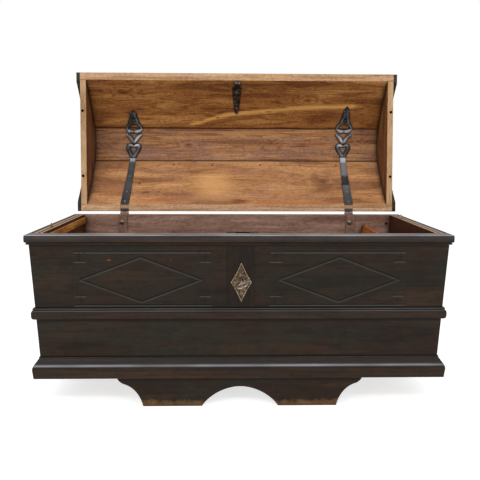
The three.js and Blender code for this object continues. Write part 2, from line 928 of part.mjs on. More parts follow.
// A nail whose head sits on a face point, its shank running back along the face's outward direction.
function nailAt(face, outward, shankLong) {
  const seat = fitGap;
  const nail = turned(
    [
      [0, -shankLong],
      [nailShank, -shankLong],
      [nailShank, seat],
      [nailHead, seat],
      [nailHead * nailCrownShare, seat + nailHeadRise * nailCrownShare],
      [0, seat + nailHeadRise],
    ],
    smallSteps,
  );
  return aimed(nail, face, outward);
}

function nailHole(face, outward, deep) {
  const drill = rod(nailShank + fitGap, deep + overrun, smallSteps);
  return solidOf(aimed(drill.translate(0, -deep, 0), face, outward));
}

// The lock and the key

// The lock case seen from the end: it stands against the leaning inner face of the front.
function lockCaseSection(shrink) {
  const front = (z) => wallSet(z) + frontThick + (shrink ? -overrun : fitGap);
  const back = wallSet(rimHeight) + frontThick + lockCaseDeep - shrink;
  const low = lockCaseLow + shrink;
  const high = rimHeight - lockCaseTopSink - shrink;
  return outline([
    [front(low), low],
    [back, low],
    [back, high],
    [front(high), high],
  ]);
}

function buildLockCase(group) {
  const shell = without(
    alongX(lockCaseSection(0), -lockCaseLeft, lockCaseRight),
    alongX(lockCaseSection(lockCaseThick), lockCaseThick - lockCaseLeft, lockCaseRight - lockCaseThick),
  );
  const slotFront = backFace - stapleFar - lockSlotNearPlay;
  const slotBack = backFace - stapleNear + lockSlotFarPlay;
  const slotLow = rimHeight - lockCaseThick * 2;
  const slot = box(-lockSlotLeft, lockSlotRight, slotFront, slotBack, slotLow, rimHeight);
  const pilot = alongY(disc(lockPlace, keyHeight, pilotRadius + fitGap), frontThick, backFace / 2);
  place(group, "lock_case", without(shell, slot, pilot), "blackIron");
}

// The bolt: a nose for the staple, an arm back to the sliding plate, and the plate's foot over the key.
function buildBolt(group) {
  const top = lidSeat - stapleDrop + stapleBar + boltEyeClearance + boltNoseHigh;
  const noseMiddle = backFace - (stapleNear + stapleFar) / 2;
  const noseFront = noseMiddle - boltNoseThick / 2;
  const noseBack = noseMiddle + boltNoseThick / 2;
  const plateBack = lockPlateFace - fitGap;
  const plateFront = plateBack - boltPlateThick;
  const foot = keyHeight + bitReach + boltKeyClearance;
  const bolt = joined(
    box(-boltLeft, -boltTip, noseFront, noseBack, top - boltNoseHigh, top),
    box(-boltLeft, boltArmWide - boltLeft, noseFront, plateBack, top - boltNoseHigh, top),
    box(-boltLeft, -boltPlateRight, plateFront, plateBack, foot, top),
    box(-boltLeft, boltFootRight, plateFront, plateBack, foot, foot + boltFootHigh),
  );
  place(group, "lock_bolt", bolt, "iron");
}

// The key lies along Y with its bow level, and the group tilts it as it was last turned.
function buildKey(group) {
  const key = new THREE.Group();
  key.position.set(lockPlace, 0, keyHeight);
  key.rotation.y = -keyTilt;
  const end = lockPlateFace - fitGap;
  const shank = solidOf(aimed(keyProfile(end), new THREE.Vector3(0, shankFront, 0), axisY));
  place(key, "key", joined(shank, keyBow(), keyBit(end)), "iron");
  group.add(key);
}

// The shank with its collar at the bow and the pilot that turns in the back of the lock.
function keyProfile(end) {
  const long = end - shankFront;
  return turned(
    [
      [0, -overrun / 2],
      [shankRadius, -overrun / 2],
      [collarRadius, 0],
      [collarRadius, collarLong],
      [shankRadius, collarLong * 2],
      [shankRadius, long],
      [pilotRadius, long],
      [pilotRadius, long + lockCaseThick],
      [0, long + lockCaseThick],
    ],
    smallSteps,
  );
}

function keyBow() {
  const middle = shankFront - bowLong / 2;
  const shape = new THREE.Shape();
  shape.absellipse(0, middle, bowWide / 2 - bowBevel, bowLong / 2 - bowBevel, 0, Math.PI * 2);
  const hole = new THREE.Path();
  const holeWide = bowWide / 2 - bowBar + bowBevel;
  const holeLong = bowLong / 2 - bowBar + bowBevel;
  hole.absellipse(0, middle, holeWide, holeLong, 0, Math.PI * 2);
  shape.holes.push(hole);
  const core = bowThick - bowBevel * 2;
  const bow = new THREE.ExtrudeGeometry(shape, {
    depth: core,
    bevelThickness: bowBevel,
    bevelSize: bowBevel,
    bevelSegments: 1,
    curveSegments: roundSteps / 2,
  });
  return solidOf(bow.translate(0, 0, -core / 2));
}

function keyBit(end) {
  const plate = box(-bitReach, 0, end - bitLong, end, -bitThick / 2, bitThick / 2);
  const middle = end - bitLong / 2;
  const slot = box(
    -bitReach - overrun,
    bitSlotDeep - bitReach,
    middle - bitSlot / 2,
    middle + bitSlot / 2,
    -bitThick,
    bitThick,
  );
  return without(plate, slot);
}

// The inside of the case

function buildInside(group) {
  const rail = alongY(endSlab(-1, railLow, railTop, endThick, endThick + railThick), 0, backFace);
  place(group, "hand_rail_left", common(rail, roomBlock(railLow, railTop, fitGap)), "tillWood");
  const room = roomBlock(tillLow, tillTop, fitGap);
  place(group, "till_side", common(tillSideBlock(), room), "tillWood");
  place(group, "till_bottom", common(tillBottomBlock(), room), "tillWood");
  for (const [label, side] of sides) {
    const y = backFace - (side < 0 ? pegNear : pegFar);
    const peg = aimed(rod(pegRadius, pegDeep + pegRise, smallSteps), new THREE.Vector3(), axisZ);
    const mesh = place(group, `rim_peg_${label}`, peg, "paleWood");
    mesh.position.set(side * pegPlace, y, rimHeight - pegDeep);
  }
}

// How far the till's side stands to the right at a height: it leans in towards its foot.
function tillLineAt(z) {
  return tillPlace - (tillLean * (tillTop - z)) / (tillTop - tillLow);
}

// The till's side board, its top edge dropping a little towards the front.
function tillSideBlock() {
  const board = outline([
    [tillLineAt(tillLow), tillLow],
    [tillLineAt(tillLow) + tillThick, tillLow],
    [tillLineAt(tillTop) + tillThick, tillTop],
    [tillLineAt(tillTop), tillTop],
  ]);
  const sideView = outline([
    [0, tillLow],
    [backFace, tillLow],
    [backFace, tillTop],
    [0, tillTop - tillFrontDrop],
  ]);
  return common(alongY(board, 0, backFace), alongX(sideView, 0, half));
}

function tillBottomBlock() {
  const high = tillLow + tillThick;
  const from = (z) => tillLineAt(z) + tillThick + fitGap;
  const board = outline([
    [from(tillLow), tillLow],
    [half, tillLow],
    [half, high],
    [from(high), high],
  ]);
  return alongY(board, 0, backFace);
}

// The lid: rises are heights over the seat at a depth from the back edge

const panes = [
  { name: "back", from: 0, to: shoulderBack, low: 0, high: 1, bow: sideBow },
  { name: "middle", from: shoulderBack, to: shoulderFront, low: 1, high: 1, bow: 0 },
  { name: "front", from: shoulderFront, to: lidDepth, low: 1, high: 0, bow: sideBow },
];

function paneAt(depth) {
  return panes.find((pane) => depth <= pane.to) ?? panes[2];
}

// One curved run: a straight rise between two levels, bowed outwards most at its middle,
// where 4 * share * (1 - share) is 1.
function bowedRise(depth, from, to, low, high, bow) {
  const share = (depth - from) / (to - from);
  return low + (high - low) * share + bow * 4 * share * (1 - share);
}

function innerRise(depth) {
  const pane = paneAt(depth);
  const from = Math.max(pane.from, lipWide);
  const to = Math.min(pane.to, lidDepth - lipWide);
  const bow = pane.bow || innerCrown;
  return bowedRise(depth, from, to, pane.low * innerShoulder, pane.high * innerShoulder, bow);
}

function outerRise(depth) {
  const pane = paneAt(depth);
  const level = (share) => lipHigh + (outerShoulder - lipHigh) * share;
  const bow = pane.bow || outerCrown;
  return bowedRise(depth, pane.from, pane.to, level(pane.low), level(pane.high), bow);
}

// Depths spaced evenly between two, both ends included.
function depthSteps(from, to) {
  return Array.from({ length: facetSteps + 1 }, (_, i) => from + ((to - from) * i) / facetSteps);
}

// The depths at which one plank's inner face bends, leaving out the level lips.
function innerSteps(pane) {
  return depthSteps(Math.max(pane.from, lipWide), Math.min(pane.to, lidDepth - lipWide));
}

const lidPoint = (depth, rise) => [backFace - depth, lidSeat + rise];

// A rise at a depth, read on the plank's own side where two planks meet.
function riseIn(pane, depth, measure) {
  return measure(Math.min(Math.max(depth, pane.from + weldDistance), pane.to));
}

// One plank's section; drop lowers its underside.
function plankSection(pane, drop) {
  const inner = innerSteps(pane).map((depth) =>
    lidPoint(depth, Math.max(riseIn(pane, depth, innerRise) - drop, 0)),
  );
  const outer = depthSteps(pane.from, pane.to).map((depth) =>
    lidPoint(depth, riseIn(pane, depth, outerRise)),
  );
  const start = pane.from === 0 ? [lidPoint(0, 0)] : [];
  const finish = pane.to === lidDepth ? [lidPoint(lidDepth, 0)] : [];
  return outline([...start, ...inner, ...finish, ...outer.toReversed()]);
}

// A plank: thinner between the end boards, full beyond them, with a fine joint to its neighbours.
function plank(pane) {
  const thick = lidEndOuter + fitGap;
  const body = alongX(plankSection(pane, 0), -lidHalf, lidHalf);
  const left = alongX(plankSection(pane, overhangDrop), -lidHalf, -thick);
  const right = alongX(plankSection(pane, overhangDrop), thick, lidHalf);
  const back = backFace - pane.from - (pane.from === 0 ? 0 : fitGap / 2);
  const front = backFace - pane.to + (pane.to === lidDepth ? 0 : fitGap / 2);
  const reach = box(-half, half, front, back, lidSeat - overrun, lidSeat + rimHeight);
  return common(joined(body, left, right), reach);
}

function lidEnd(side) {
  const inner = panes.flatMap((pane) =>
    innerSteps(pane).map((depth) => lidPoint(depth, riseIn(pane, depth, innerRise) - fitGap * 2)),
  );
  const start = lidPoint(lipWide, -overrun);
  const finish = lidPoint(lidDepth - lipWide, -overrun);
  const reach = [side * (lidEndOuter - lidEndThick), side * lidEndOuter].sort((a, b) => a - b);
  const board = alongX(outline([start, ...inner, finish]), ...reach);
  const above = box(
    -half,
    half,
    backFace - lidDepth + lipWide + fitGap,
    backFace - lipWide - fitGap,
    lidSeat,
    lidSeat + rimHeight,
  );
  const holes = [pegNear, pegFar].map((depth) =>
    alongZ(disc(side * pegPlace, backFace - depth, pegHoleRadius), lidSeat - overrun, lidSeat + pegHoleDeep),
  );
  return without(common(board, above), ...holes);
}

// The strap hinges

// The strap runs level under the lip and then along the inside of the planks.
function strapSection(to, thick) {
  const depths = panes
    .flatMap((pane) => depthSteps(Math.max(pane.from, lipWide), Math.min(pane.to, lidDepth - lipWide)))
    .filter((depth, i, all) => depth > lipWide && depth < to && depth !== all[i - 1]);
  const top = (depth) => Math.max(innerRise(depth) - fitGap, thick);
  const low = (depth) => Math.max(innerRise(depth) - fitGap - thick * slantOf(depth), 0);
  const bend = lipWide + (thick + fitGap) / steepness(lipWide);
  const rise = lipWide + (thick * slantOf(bend) + fitGap) / steepness(lipWide);
  const along = [...depths.filter((depth) => depth > rise), to];
  return outline([
    lidPoint(-leafReach, 0),
    lidPoint(rise, 0),
    ...along.map((depth) => lidPoint(depth, low(depth))),
    ...along.toReversed().map((depth) => lidPoint(depth, top(depth))),
    lidPoint(bend, thick),
    lidPoint(-leafReach, thick),
  ]);
}

// The rise of the inner face per unit of depth, over one facet step from a depth.
function steepness(depth) {
  const pane = paneAt(depth);
  const step = (pane.to - Math.max(pane.from, lipWide)) / facetSteps;
  return Math.abs(innerRise(depth + step) - innerRise(depth)) / step;
}

// How much longer an upright cut through a sheet on the inner face is than its thickness.
function slantOf(depth) {
  const pane = paneAt(depth);
  const run = pane.to - pane.from;
  return Math.hypot(run, (pane.high - pane.low) * innerShoulder) / run;
}

// A heart with its point at the start and two lobes at the end, in shares of its half width and length.
function heart(centreAt, start, long, wide) {
  const at = motifPoint(centreAt, start, long, wide);
  const shape = new THREE.Shape();
  shape.moveTo(...at(1, heartPointShares));
  shape.bezierCurveTo(...at(1, heartLowShares), ...at(1, heartSideShares), ...at(1, heartWideShares));
  shape.bezierCurveTo(...at(1, heartLobeShares), ...at(1, heartCrownShares), ...at(1, heartNotchShares));
  shape.bezierCurveTo(...at(-1, heartCrownShares), ...at(-1, heartLobeShares), ...at(-1, heartWideShares));
  shape.bezierCurveTo(...at(-1, heartSideShares), ...at(-1, heartLowShares), ...at(1, heartPointShares));
  return shape;
}

// Gives a motif's point in plan from its side, 1 or -1, and its shares of half width and length.
function motifPoint(centreAt, start, long, wide) {
  return (side, [x, along]) => [
    centreAt(start + along * long) + side * x * wide,
    backFace - start - along * long,
  ];
}

// A symmetrical outline from its right half, in shares, drawn as straight runs.
function twoSided(centreAt, start, long, wide, halfShares) {
  const at = motifPoint(centreAt, start, long, wide);
  const right = halfShares.map((shares) => at(1, shares));
  const offMiddle = halfShares.filter(([x]) => x > 0).toReversed();
  return outline([...right, ...offMiddle.map((shares) => at(-1, shares))]);
}

// The pierced end of a strap seen from above the closed lid: heart, horns and leaf.
function ornament(start, end, centreAt) {
  const long = end - start;
  const up = (shape) => alongZ(shape, lidSeat - overrun, lidSeat + rimHeight);
  const span = ([from, length]) => [start + from * long, length * long];
  const part = (shares, width, halfShares) =>
    up(twoSided(centreAt, ...span(shares), ornamentHalf * width, halfShares));
  const body = joined(
    up(heart(centreAt, ...span(heartSpanShares), ornamentHalf)),
    part(hornSpanShares, hornWidthShare, hornShares),
    part(leafSpanShares, leafWidthShare, leafShares),
  );
  return without(
    body,
    up(heart(centreAt, ...span(heartHoleShares), ornamentHalf * holeWidthShare)),
    part(hornHoleShares, 1, hornHoleHalfShares),
    part(leafHoleShares, 1, leafHoleHalfShares),
    part(leafSlitShares, 1, leafSlitHalfShares),
  );
}

// The plain part of a strap seen from above: wide at the hinge, narrow at the ornament.
function strapTail(start, centreAt) {
  const neck = start + (ornamentHalf * 2) * neckRunShare;
  return alongZ(
    outline([
      [centreAt(0) - strapBase / 2, backFace + leafReach],
      [centreAt(0) + strapBase / 2, backFace + leafReach],
      [centreAt(lipWide) + strapBase / 2, backFace - lipWide],
      [centreAt(start) + strapNeck / 2, backFace - start],
      [centreAt(neck), backFace - neck],
      [centreAt(start) - strapNeck / 2, backFace - start],
      [centreAt(lipWide) - strapBase / 2, backFace - lipWide],
    ]),
    lidSeat - overrun,
    lidSeat + rimHeight,
  );
}

function strapCentre(label) {
  const middle = hingePlaces[label];
  return (depth) => middle + strapSlants[label] * Math.max(depth - lipWide, 0);
}

function strapNailFaces(label) {
  const centreAt = strapCentre(label);
  return strapNails.map((depth) => innerFace(centreAt(depth), depth));
}

// A point on the inside of the lid with the direction that points out of the wood there.
function innerFace(x, depth) {
  const pane = paneAt(depth);
  const slope = ((pane.high - pane.low) * innerShoulder) / (pane.to - pane.from);
  const outward = new THREE.Vector3(0, -slope, -1).normalize();
  const [y, z] = lidPoint(depth, innerRise(depth));
  return { point: new THREE.Vector3(x, y, z), outward };
}

// The knuckles between two places across the hinge, with a tab to the sheet they belong to.
function knuckle(from, to, tabLow, tabHigh) {
  const barrel = alongX(ring(hingeY, hingeZ, knuckleRadius, pinRadius + fitGap), from, to);
  const tabEnd = hingeY - (knuckleRadius + pinRadius) / 2;
  const tab = box(from, to, backFace - leafReach, tabEnd + leafReach / 2, tabLow, tabHigh);
  const bore = alongX(disc(hingeY, hingeZ, pinRadius + fitGap), from - overrun, to + overrun);
  return without(joined(barrel, tab), bore);
}

function hingeStrap(label) {
  const centreAt = strapCentre(label);
  const start = ornamentStarts[label];
  const end = lidDepth - ornamentInsets[label];
  const plan = joined(strapTail(start, centreAt), ornament(start, end, centreAt));
  const sheet = common(alongX(strapSection(end + overrun, strapThick), -half, half), plan);
  const from = hingePlaces[label] - middleKnuckle / 2;
  const eye = knuckle(from, from + middleKnuckle, lidSeat, lidSeat + strapThick);
  const holes = strapNailFaces(label).map(({ point, outward }) =>
    nailHole(point, outward, strapThick * 2),
  );
  return without(joined(sheet, eye), ...holes);
}

// The pocket in the underside of the back lip that takes the strap.
function strapPocket(label) {
  const x = hingePlaces[label];
  const wide = strapBase / 2 + fitGap;
  const depth = lipWide + strapThick * 2;
  return box(
    x - wide,
    x + wide,
    backFace - depth,
    backFace + overrun,
    lidSeat - overrun,
    lidSeat + strapThick + fitGap,
  );
}

function hingeLeaf(label) {
  const x = hingePlaces[label];
  const inner = backFace - backThick - fitGap;
  const sheet = outline([
    [inner - leafThick, rimHeight],
    [backFace + leafReach, rimHeight],
    [backFace + leafReach, rimHeight - leafThick],
    [inner, rimHeight - leafThick],
    [inner, rimHeight - leafDrop],
    [inner - leafThick, rimHeight - leafDrop],
  ]);
  const left = x - leafWide / 2;
  const right = x + leafWide / 2;
  const play = middleKnuckle / 2 + fitGap;
  const leaf = joined(
    alongX(sheet, left, right),
    knuckle(left, x - play, rimHeight - leafThick, rimHeight),
    knuckle(x + play, right, rimHeight - leafThick, rimHeight),
  );
  return without(leaf, boltHole(x, inner - leafThick - overrun));
}

// A domed bolt through the leaf and the back wall.
function buildHingeBolt(group, label) {
  const face = backFace - backThick - fitGap - leafThick;
  const long = backFace - face;
  const bolt = turned(
    [
      [0, -long],
      [boltShankRadius, -long],
      [boltShankRadius, fitGap],
      [boltHeadRadius, fitGap],
      [boltHeadRadius * boltDomeShare, boltHeadRise * boltDomeShare],
      [boltHeadRadius / 2, boltHeadRise * boltCrownShare],
      [0, boltHeadRise],
    ],
    smallSteps,
  );
  const mesh = place(group, `hinge_bolt_${label}`, bolt, "iron");
  mesh.rotation.x = Math.PI;
  mesh.position.set(hingePlaces[label] - boltHeadShift, face, rimHeight - boltHeadDrop);
}

function buildHinges(group) {
  for (const [label] of sides) {
    place(group, `hinge_leaf_${label}`, hingeLeaf(label), "iron");
    buildHingeBolt(group, label);
    const pin = aimed(rod(pinRadius, pinLong, roundSteps), new THREE.Vector3(), axisX);
    const mesh = place(group, `hinge_pin_${label}`, pin, "iron");
    mesh.position.set(hingePlaces[label] - pinLong / 2, hingeY, hingeZ);
  }
}

// The catch plate and its staple

function catchOutline() {
  return outline([
    [catchPlace - catchLowHalf, backFace - catchLow],
    [catchPlace + catchLowHalf, backFace - catchLow],
    [catchPlace + catchWaistHalf, backFace - catchWaist],
    [catchPlace + catchHighHalf, backFace - catchHigh],
    [catchPlace - catchHighHalf, backFace - catchHigh],
    [catchPlace - catchWaistHalf, backFace - catchWaist],
  ]);
}

// The sheet under the front plank between two depths.
function catchSection(from, to) {
  const inside = innerSteps(panes[2]).filter((depth) => depth > from && depth < to);
  const depths = [from, ...inside, to];
  const low = (depth) => innerRise(depth) - fitGap - catchThick * slantOf(depth);
  return outline([
    ...depths.map((depth) => lidPoint(depth, innerRise(depth) - fitGap)),
    ...depths.toReversed().map((depth) => lidPoint(depth, low(depth))),
  ]);
}

// The staple seen from the end: a loop hanging below the lid's seat from the foot of the plate.
function stapleSection() {
  const shape = outline([
    lidPoint(stapleNear, innerRise(stapleNear) - fitGap),
    lidPoint(stapleFar, innerRise(stapleFar) - fitGap),
    lidPoint(stapleFar, -stapleDrop),
    lidPoint(stapleNear, -stapleDrop),
  ]);
  const low = -stapleDrop + stapleBar;
  shape.holes.push(
    outline([
      lidPoint(stapleNear + stapleBar, low),
      lidPoint(stapleFar - stapleBar, low),
      lidPoint(stapleFar - stapleBar, low + stapleEye),
      lidPoint(stapleNear + stapleBar, low + stapleEye),
    ]),
  );
  return shape;
}

function catchFaces() {
  return catchNails.map((depth) => innerFace(catchPlace, depth));
}

function catchPlate() {
  const plan = alongZ(catchOutline(), 0, rimHeight * 2);
  const sheet = common(alongX(catchSection(catchLow, catchHigh), -half, half), plan);
  const width = [staplePlace - stapleHalf, staplePlace + stapleHalf];
  const link = alongX(catchSection(catchHigh - overrun, stapleNear + stapleBar), ...width);
  const staple = alongX(stapleSection(), ...width);
  const holes = catchFaces().map(({ point, outward }) => nailHole(point, outward, catchThick * 2));
  return without(joined(sheet, link, staple), ...holes);
}

// A nail through a sheet on the inside of the lid.
function sheetNail({ point, outward }, thick) {
  const face = point.clone().addScaledVector(outward, thick + fitGap);
  return nailAt(face, outward, nailLong);
}

function nailBore({ point, outward }, thick) {
  const face = point.clone().addScaledVector(outward, thick + fitGap);
  return nailHole(face, outward, nailLong + fitGap);
}

// The lid is built shut and its group then swings it open about the hinge axis.
function buildLid(group) {
  const lid = new THREE.Group();
  lid.position.set(0, hingeY, hingeZ);
  lid.rotation.x = -openAngle;
  const shut = new THREE.Group();
  shut.position.set(0, -hingeY, -hingeZ);
  lid.add(shut);
  const straps = sides.map(([label]) => [label, strapNailFaces(label)]);
  const cuts = {
    back: straps.flatMap(([label, faces]) => [
      strapPocket(label),
      ...faces.map((face) => nailBore(face, strapThick)),
    ]),
    middle: [],
    front: catchFaces().map((face) => nailBore(face, catchThick)),
  };
  for (const pane of panes) {
    place(shut, `lid_plank_${pane.name}`, without(plank(pane), ...cuts[pane.name]), "paleWood");
  }
  for (const [label, side] of sides) {
    place(shut, `lid_end_${label}`, lidEnd(side), "brownWood");
    place(shut, `hinge_strap_${label}`, hingeStrap(label), "iron");
  }
  for (const [label, faces] of straps) {
    faces.forEach((face, i) => {
      place(shut, `strap_nail_${label}_${i + 1}`, sheetNail(face, strapThick), "iron");
    });
  }
  place(shut, "catch_plate", catchPlate(), "iron");
  catchFaces().forEach((face, i) => {
    place(shut, `catch_nail_${i + 1}`, sheetNail(face, catchThick), "iron");
  });
  group.add(lid);
}

// The whole chest, moved so that its origin is under the middle of its box, on the floor.
function buildChest() {
  const chest = new THREE.Group();
  buildWalls(chest);
  buildBottom(chest);
  buildMouldings(chest);
  buildFeet(chest);
  buildStile(chest);
  buildPlate(chest);
  buildLockCase(chest);
  buildBolt(chest);
  buildKey(chest);
  buildInside(chest);
  buildHinges(chest);
  buildLid(chest);
  const middle = new THREE.Box3().setFromObject(chest, true).getCenter(new THREE.Vector3());
  chest.position.set(0, -middle.y, 0);
  const whole = new THREE.Group();
  whole.add(chest);
  return whole;
}

export default buildChest();
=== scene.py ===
# An oak coffer chest with its vaulted lid standing open and its key in the lock.
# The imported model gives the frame. Shapes are worked out in millimetres and put into metres at the end.
from math import cos, pi, radians, sin

import bpy
import numpy as np
from mathutils import Matrix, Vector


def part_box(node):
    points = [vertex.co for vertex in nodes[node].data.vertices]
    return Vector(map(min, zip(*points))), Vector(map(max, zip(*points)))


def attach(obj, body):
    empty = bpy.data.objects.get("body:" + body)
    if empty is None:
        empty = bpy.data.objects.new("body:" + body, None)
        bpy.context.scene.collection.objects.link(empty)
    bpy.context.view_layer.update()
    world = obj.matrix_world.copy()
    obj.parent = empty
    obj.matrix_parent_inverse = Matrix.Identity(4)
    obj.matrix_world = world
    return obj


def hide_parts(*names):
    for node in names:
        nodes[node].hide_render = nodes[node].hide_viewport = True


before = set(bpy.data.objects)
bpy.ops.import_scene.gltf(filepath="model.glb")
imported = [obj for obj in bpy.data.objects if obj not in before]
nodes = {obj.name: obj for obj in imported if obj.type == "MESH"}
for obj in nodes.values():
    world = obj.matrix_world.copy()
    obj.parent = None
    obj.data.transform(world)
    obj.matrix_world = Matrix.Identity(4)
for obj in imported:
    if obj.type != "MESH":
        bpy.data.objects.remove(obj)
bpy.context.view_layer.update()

chest = {
    "half": 800,  # half the width over the top moulding
    "rim": 684,
    "footHigh": 122,
    "topProud": 12,
    "caseDeep": 680,
    "lean": 19,  # how far the front and the ends come in from the rim to the feet
    "backThick": 32,
    "gap": 0.3,  # between neighbouring pieces
}
mm = 0.001
backFace = chest["topProud"] + chest["caseDeep"]
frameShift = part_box("back_board_upper")[1].y - backFace * mm
sides = (("left", -1), ("right", 1))


def wallSet(z):
    # how far the leaning wall stands in from the outermost plane at a height
    return chest["topProud"] + chest["lean"] * (chest["rim"] - z) / (chest["rim"] - chest["footHigh"])


# meshes from arrays


def addObject(name, data):
    # a new object in the scene, at the origin
    thing = bpy.data.objects.new(name, data)
    bpy.context.scene.collection.objects.link(thing)
    return thing


def makePiece(name, parts, material, body, stands=(), crease=38, marks=None):
    # One mesh from parts of (points, quads, loose ngons, material index per quad), put into metres.
    points = np.concatenate([part[0] for part in parts])
    faces, indices, start = [], [], 0
    for corners, quads, ngons, index in parts:
        faces += (quads + start).tolist() + [[v + start for v in ngon] for ngon in ngons]
        indices += np.broadcast_to(index, len(quads)).tolist() + [0] * len(ngons)
        start += len(corners)
    mesh = bpy.data.meshes.new(name)
    mesh.from_pydata((points * mm + [0, frameShift, 0]).tolist(), [], faces)
    for each in material if isinstance(material, list) else [material]:
        mesh.materials.append(each)
    mesh.polygons.foreach_set("material_index", np.array(indices, np.int32))
    mesh.polygons.foreach_set("use_smooth", np.ones(len(faces), bool))
    mesh.set_sharp_from_angle(angle=radians(crease))
    for label, values in (marks or {}).items():
        mesh.attributes.new(label, "FLOAT", "POINT").data.foreach_set("value", values.ravel().astype(np.float32))
    mesh.update()
    piece = addObject(name, mesh)
    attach(piece, body)
    if stands:
        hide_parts(*stands)
    return piece


def loft(rings, index=0):
    # A skin over stations of closed rings: point (i, j) is point j of station i, and both ends are capped.
    # Its faces are turned round where the volume they enclose comes out negative.
    count, around = rings.shape[:2]
    points = rings.reshape(-1, 3)
    i, j = np.meshgrid(np.arange(count - 1), np.arange(around), indexing="ij")
    k = (j + 1) % around
    quads = [i * around + j, i * around + k, (i + 1) * around + k, (i + 1) * around + j]
    quads = np.stack(quads, -1).reshape(-1, 4)
    ends = [list(range(around))[::-1], [(count - 1) * around + n for n in range(around)]]
    middle = (rings[0].mean(0) + rings[-1].mean(0)) / 2
    a, b, c, d = (points[quads[:, n]] - middle for n in range(4))
    if (a * np.cross(b, c)).sum() + (a * np.cross(c, d)).sum() < 0:
        quads, ends = quads[:, ::-1], [end[::-1] for end in ends]
    return points, quads, ends, np.broadcast_to(index, (count - 1, around)).reshape(-1)


def closedLoft(rings, index=0):
    # The same over stations that come round to the first again, with no caps.
    points, quads, ends, index = loft(np.concatenate([rings, rings[:1]]), index)
    total = rings.shape[0] * rings.shape[1]
    return points[:total], quads % total, [], index


def unit(vectors):
    # each vector over its own length
    return vectors / np.maximum(np.linalg.norm(vectors, axis=-1, keepdims=True), 1e-9)


def turns(count, start=0.0):
    # equal angles over a full turn
    return np.arange(count) * 2 * pi / count + start


def superellipse(count, power, start=0.0):
    # |a|^power + |h|^power = 1: a flat bar's section with swelling faces and soft edges
    c, s = np.cos(turns(count, start)), np.sin(turns(count, start))
    return np.sign(c) * np.abs(c) ** (2 / power), np.sign(s) * np.abs(s) ** (2 / power)


def line(start, end, count=2):
    # count points at equal steps between two
    return np.linspace(start, end, count)


def chain(*points):
    # straight runs from each point to the next
    return [line(a, b) for a, b in zip(points, points[1:])]


def arc(centre, radius, fromTurn, toTurn, count=9):
    # centre + radius (cos, sin) from one angle to another, in quarter turns
    turn = np.linspace(fromTurn, toTurn, count) * pi / 2
    return np.stack([centre[0] + radius * np.cos(turn), centre[1] + radius * np.sin(turn)], -1)


def bend(start, corner, end, count):
    # (1-s)^2 A + 2 s (1-s) P + s^2 B
    s = np.linspace(0, 1, count)[:, None]
    return (1 - s) ** 2 * start + 2 * s * (1 - s) * corner + s**2 * end


def roundedLoop(runs, radius):
    # Joins runs of (a, b) points into one loop. Each corner is cut back by the radius along both runs and
    # bridged by a bend. Leading axes, such as stations, pass through.
    loop = []
    for n, run in enumerate(runs):
        following = runs[(n + 1) % len(runs)]
        into, out = unit(run[..., -1:, :] - run[..., -2:-1, :]), unit(following[..., 1:2, :] - following[..., :1, :])
        corner = run[..., -1:, :]
        loop += [run[..., 1:-1, :], bend(corner - into * radius, corner, corner + out * radius, 4)]
    return np.concatenate(loop, -2)


def smoothLoop(runs, radius):
    # The same for one section, but it keeps the smooth joins between straight runs and arcs.
    loop = []
    for n, run in enumerate(runs):
        following = runs[(n + 1) % len(runs)]
        before, after = run[-1] - run[-2], following[1] - following[0]
        into, out = unit(before), unit(after)
        if into @ out > 0.8:
            loop.append(run[1:])
            continue
        cut = min(radius, np.linalg.norm(before) / 3, np.linalg.norm(after) / 3)
        loop += [run[1:-1], bend(run[-1] - into * cut, run[-1], run[-1] + out * cut, 4)]
    return np.concatenate(loop)


def throughPoints(points, count):
    # Catmull-Rom: each span blends its two ends and their neighbours with the cubic weights below.
    points = np.asarray(points, float)
    padded = np.concatenate([2 * points[:1] - points[1:2], points, 2 * points[-1:] - points[-2:-1]])
    place = np.linspace(0, len(points) - 1.000001, count)
    n, t = place.astype(int), (place % 1)[:, None]
    a, b, c, d = (padded[n + shift] for shift in range(4))
    return 0.5 * (2 * b + (c - a) * t + (2 * a - 5 * b + 4 * c - d) * t**2 + (3 * b - a - 3 * c + d) * t**3)


def wander(place, size, seed):
    # A slow unevenness of a hand-worked edge: three sines of unlike lengths.
    return size * (np.sin(place / 61 + seed) + np.sin(place / 23 + seed * 2.7) * 0.5 + np.sin(place / 157 + seed * 5.1))


def turned(profile, foot, direction, around=20, facets=0.0, seed=0.0):
    # Rings of radius r at height h along the direction; facets makes the radius swing with the angle.
    profile = np.asarray(profile, float)
    direction = unit(np.asarray(direction, float))
    side = unit(np.cross(direction, [0.3, 0.2, 1.0] if abs(direction[2]) < 0.9 else [1.0, 0.2, 0.1]))
    other = np.cross(direction, side)
    turn = turns(around)
    swing = 1 + facets * np.cos(turn * 5 + seed) + facets * 0.6 * np.cos(turn * 3 + seed * 2)
    circle = (np.cos(turn)[:, None] * side + np.sin(turn)[:, None] * other) * swing[:, None]
    return loft(np.asarray(foot) + profile[:, 1, None, None] * direction + profile[:, 0, None, None] * circle)


# materials


def linear(code):
    # an sRGB hex value to linear light
    part = np.array([int(code[n:n + 2], 16) for n in (1, 3, 5)]) / 255
    return (*np.where(part <= 0.04045, part / 12.92, ((part + 0.055) / 1.055) ** 2.4), 1.0)


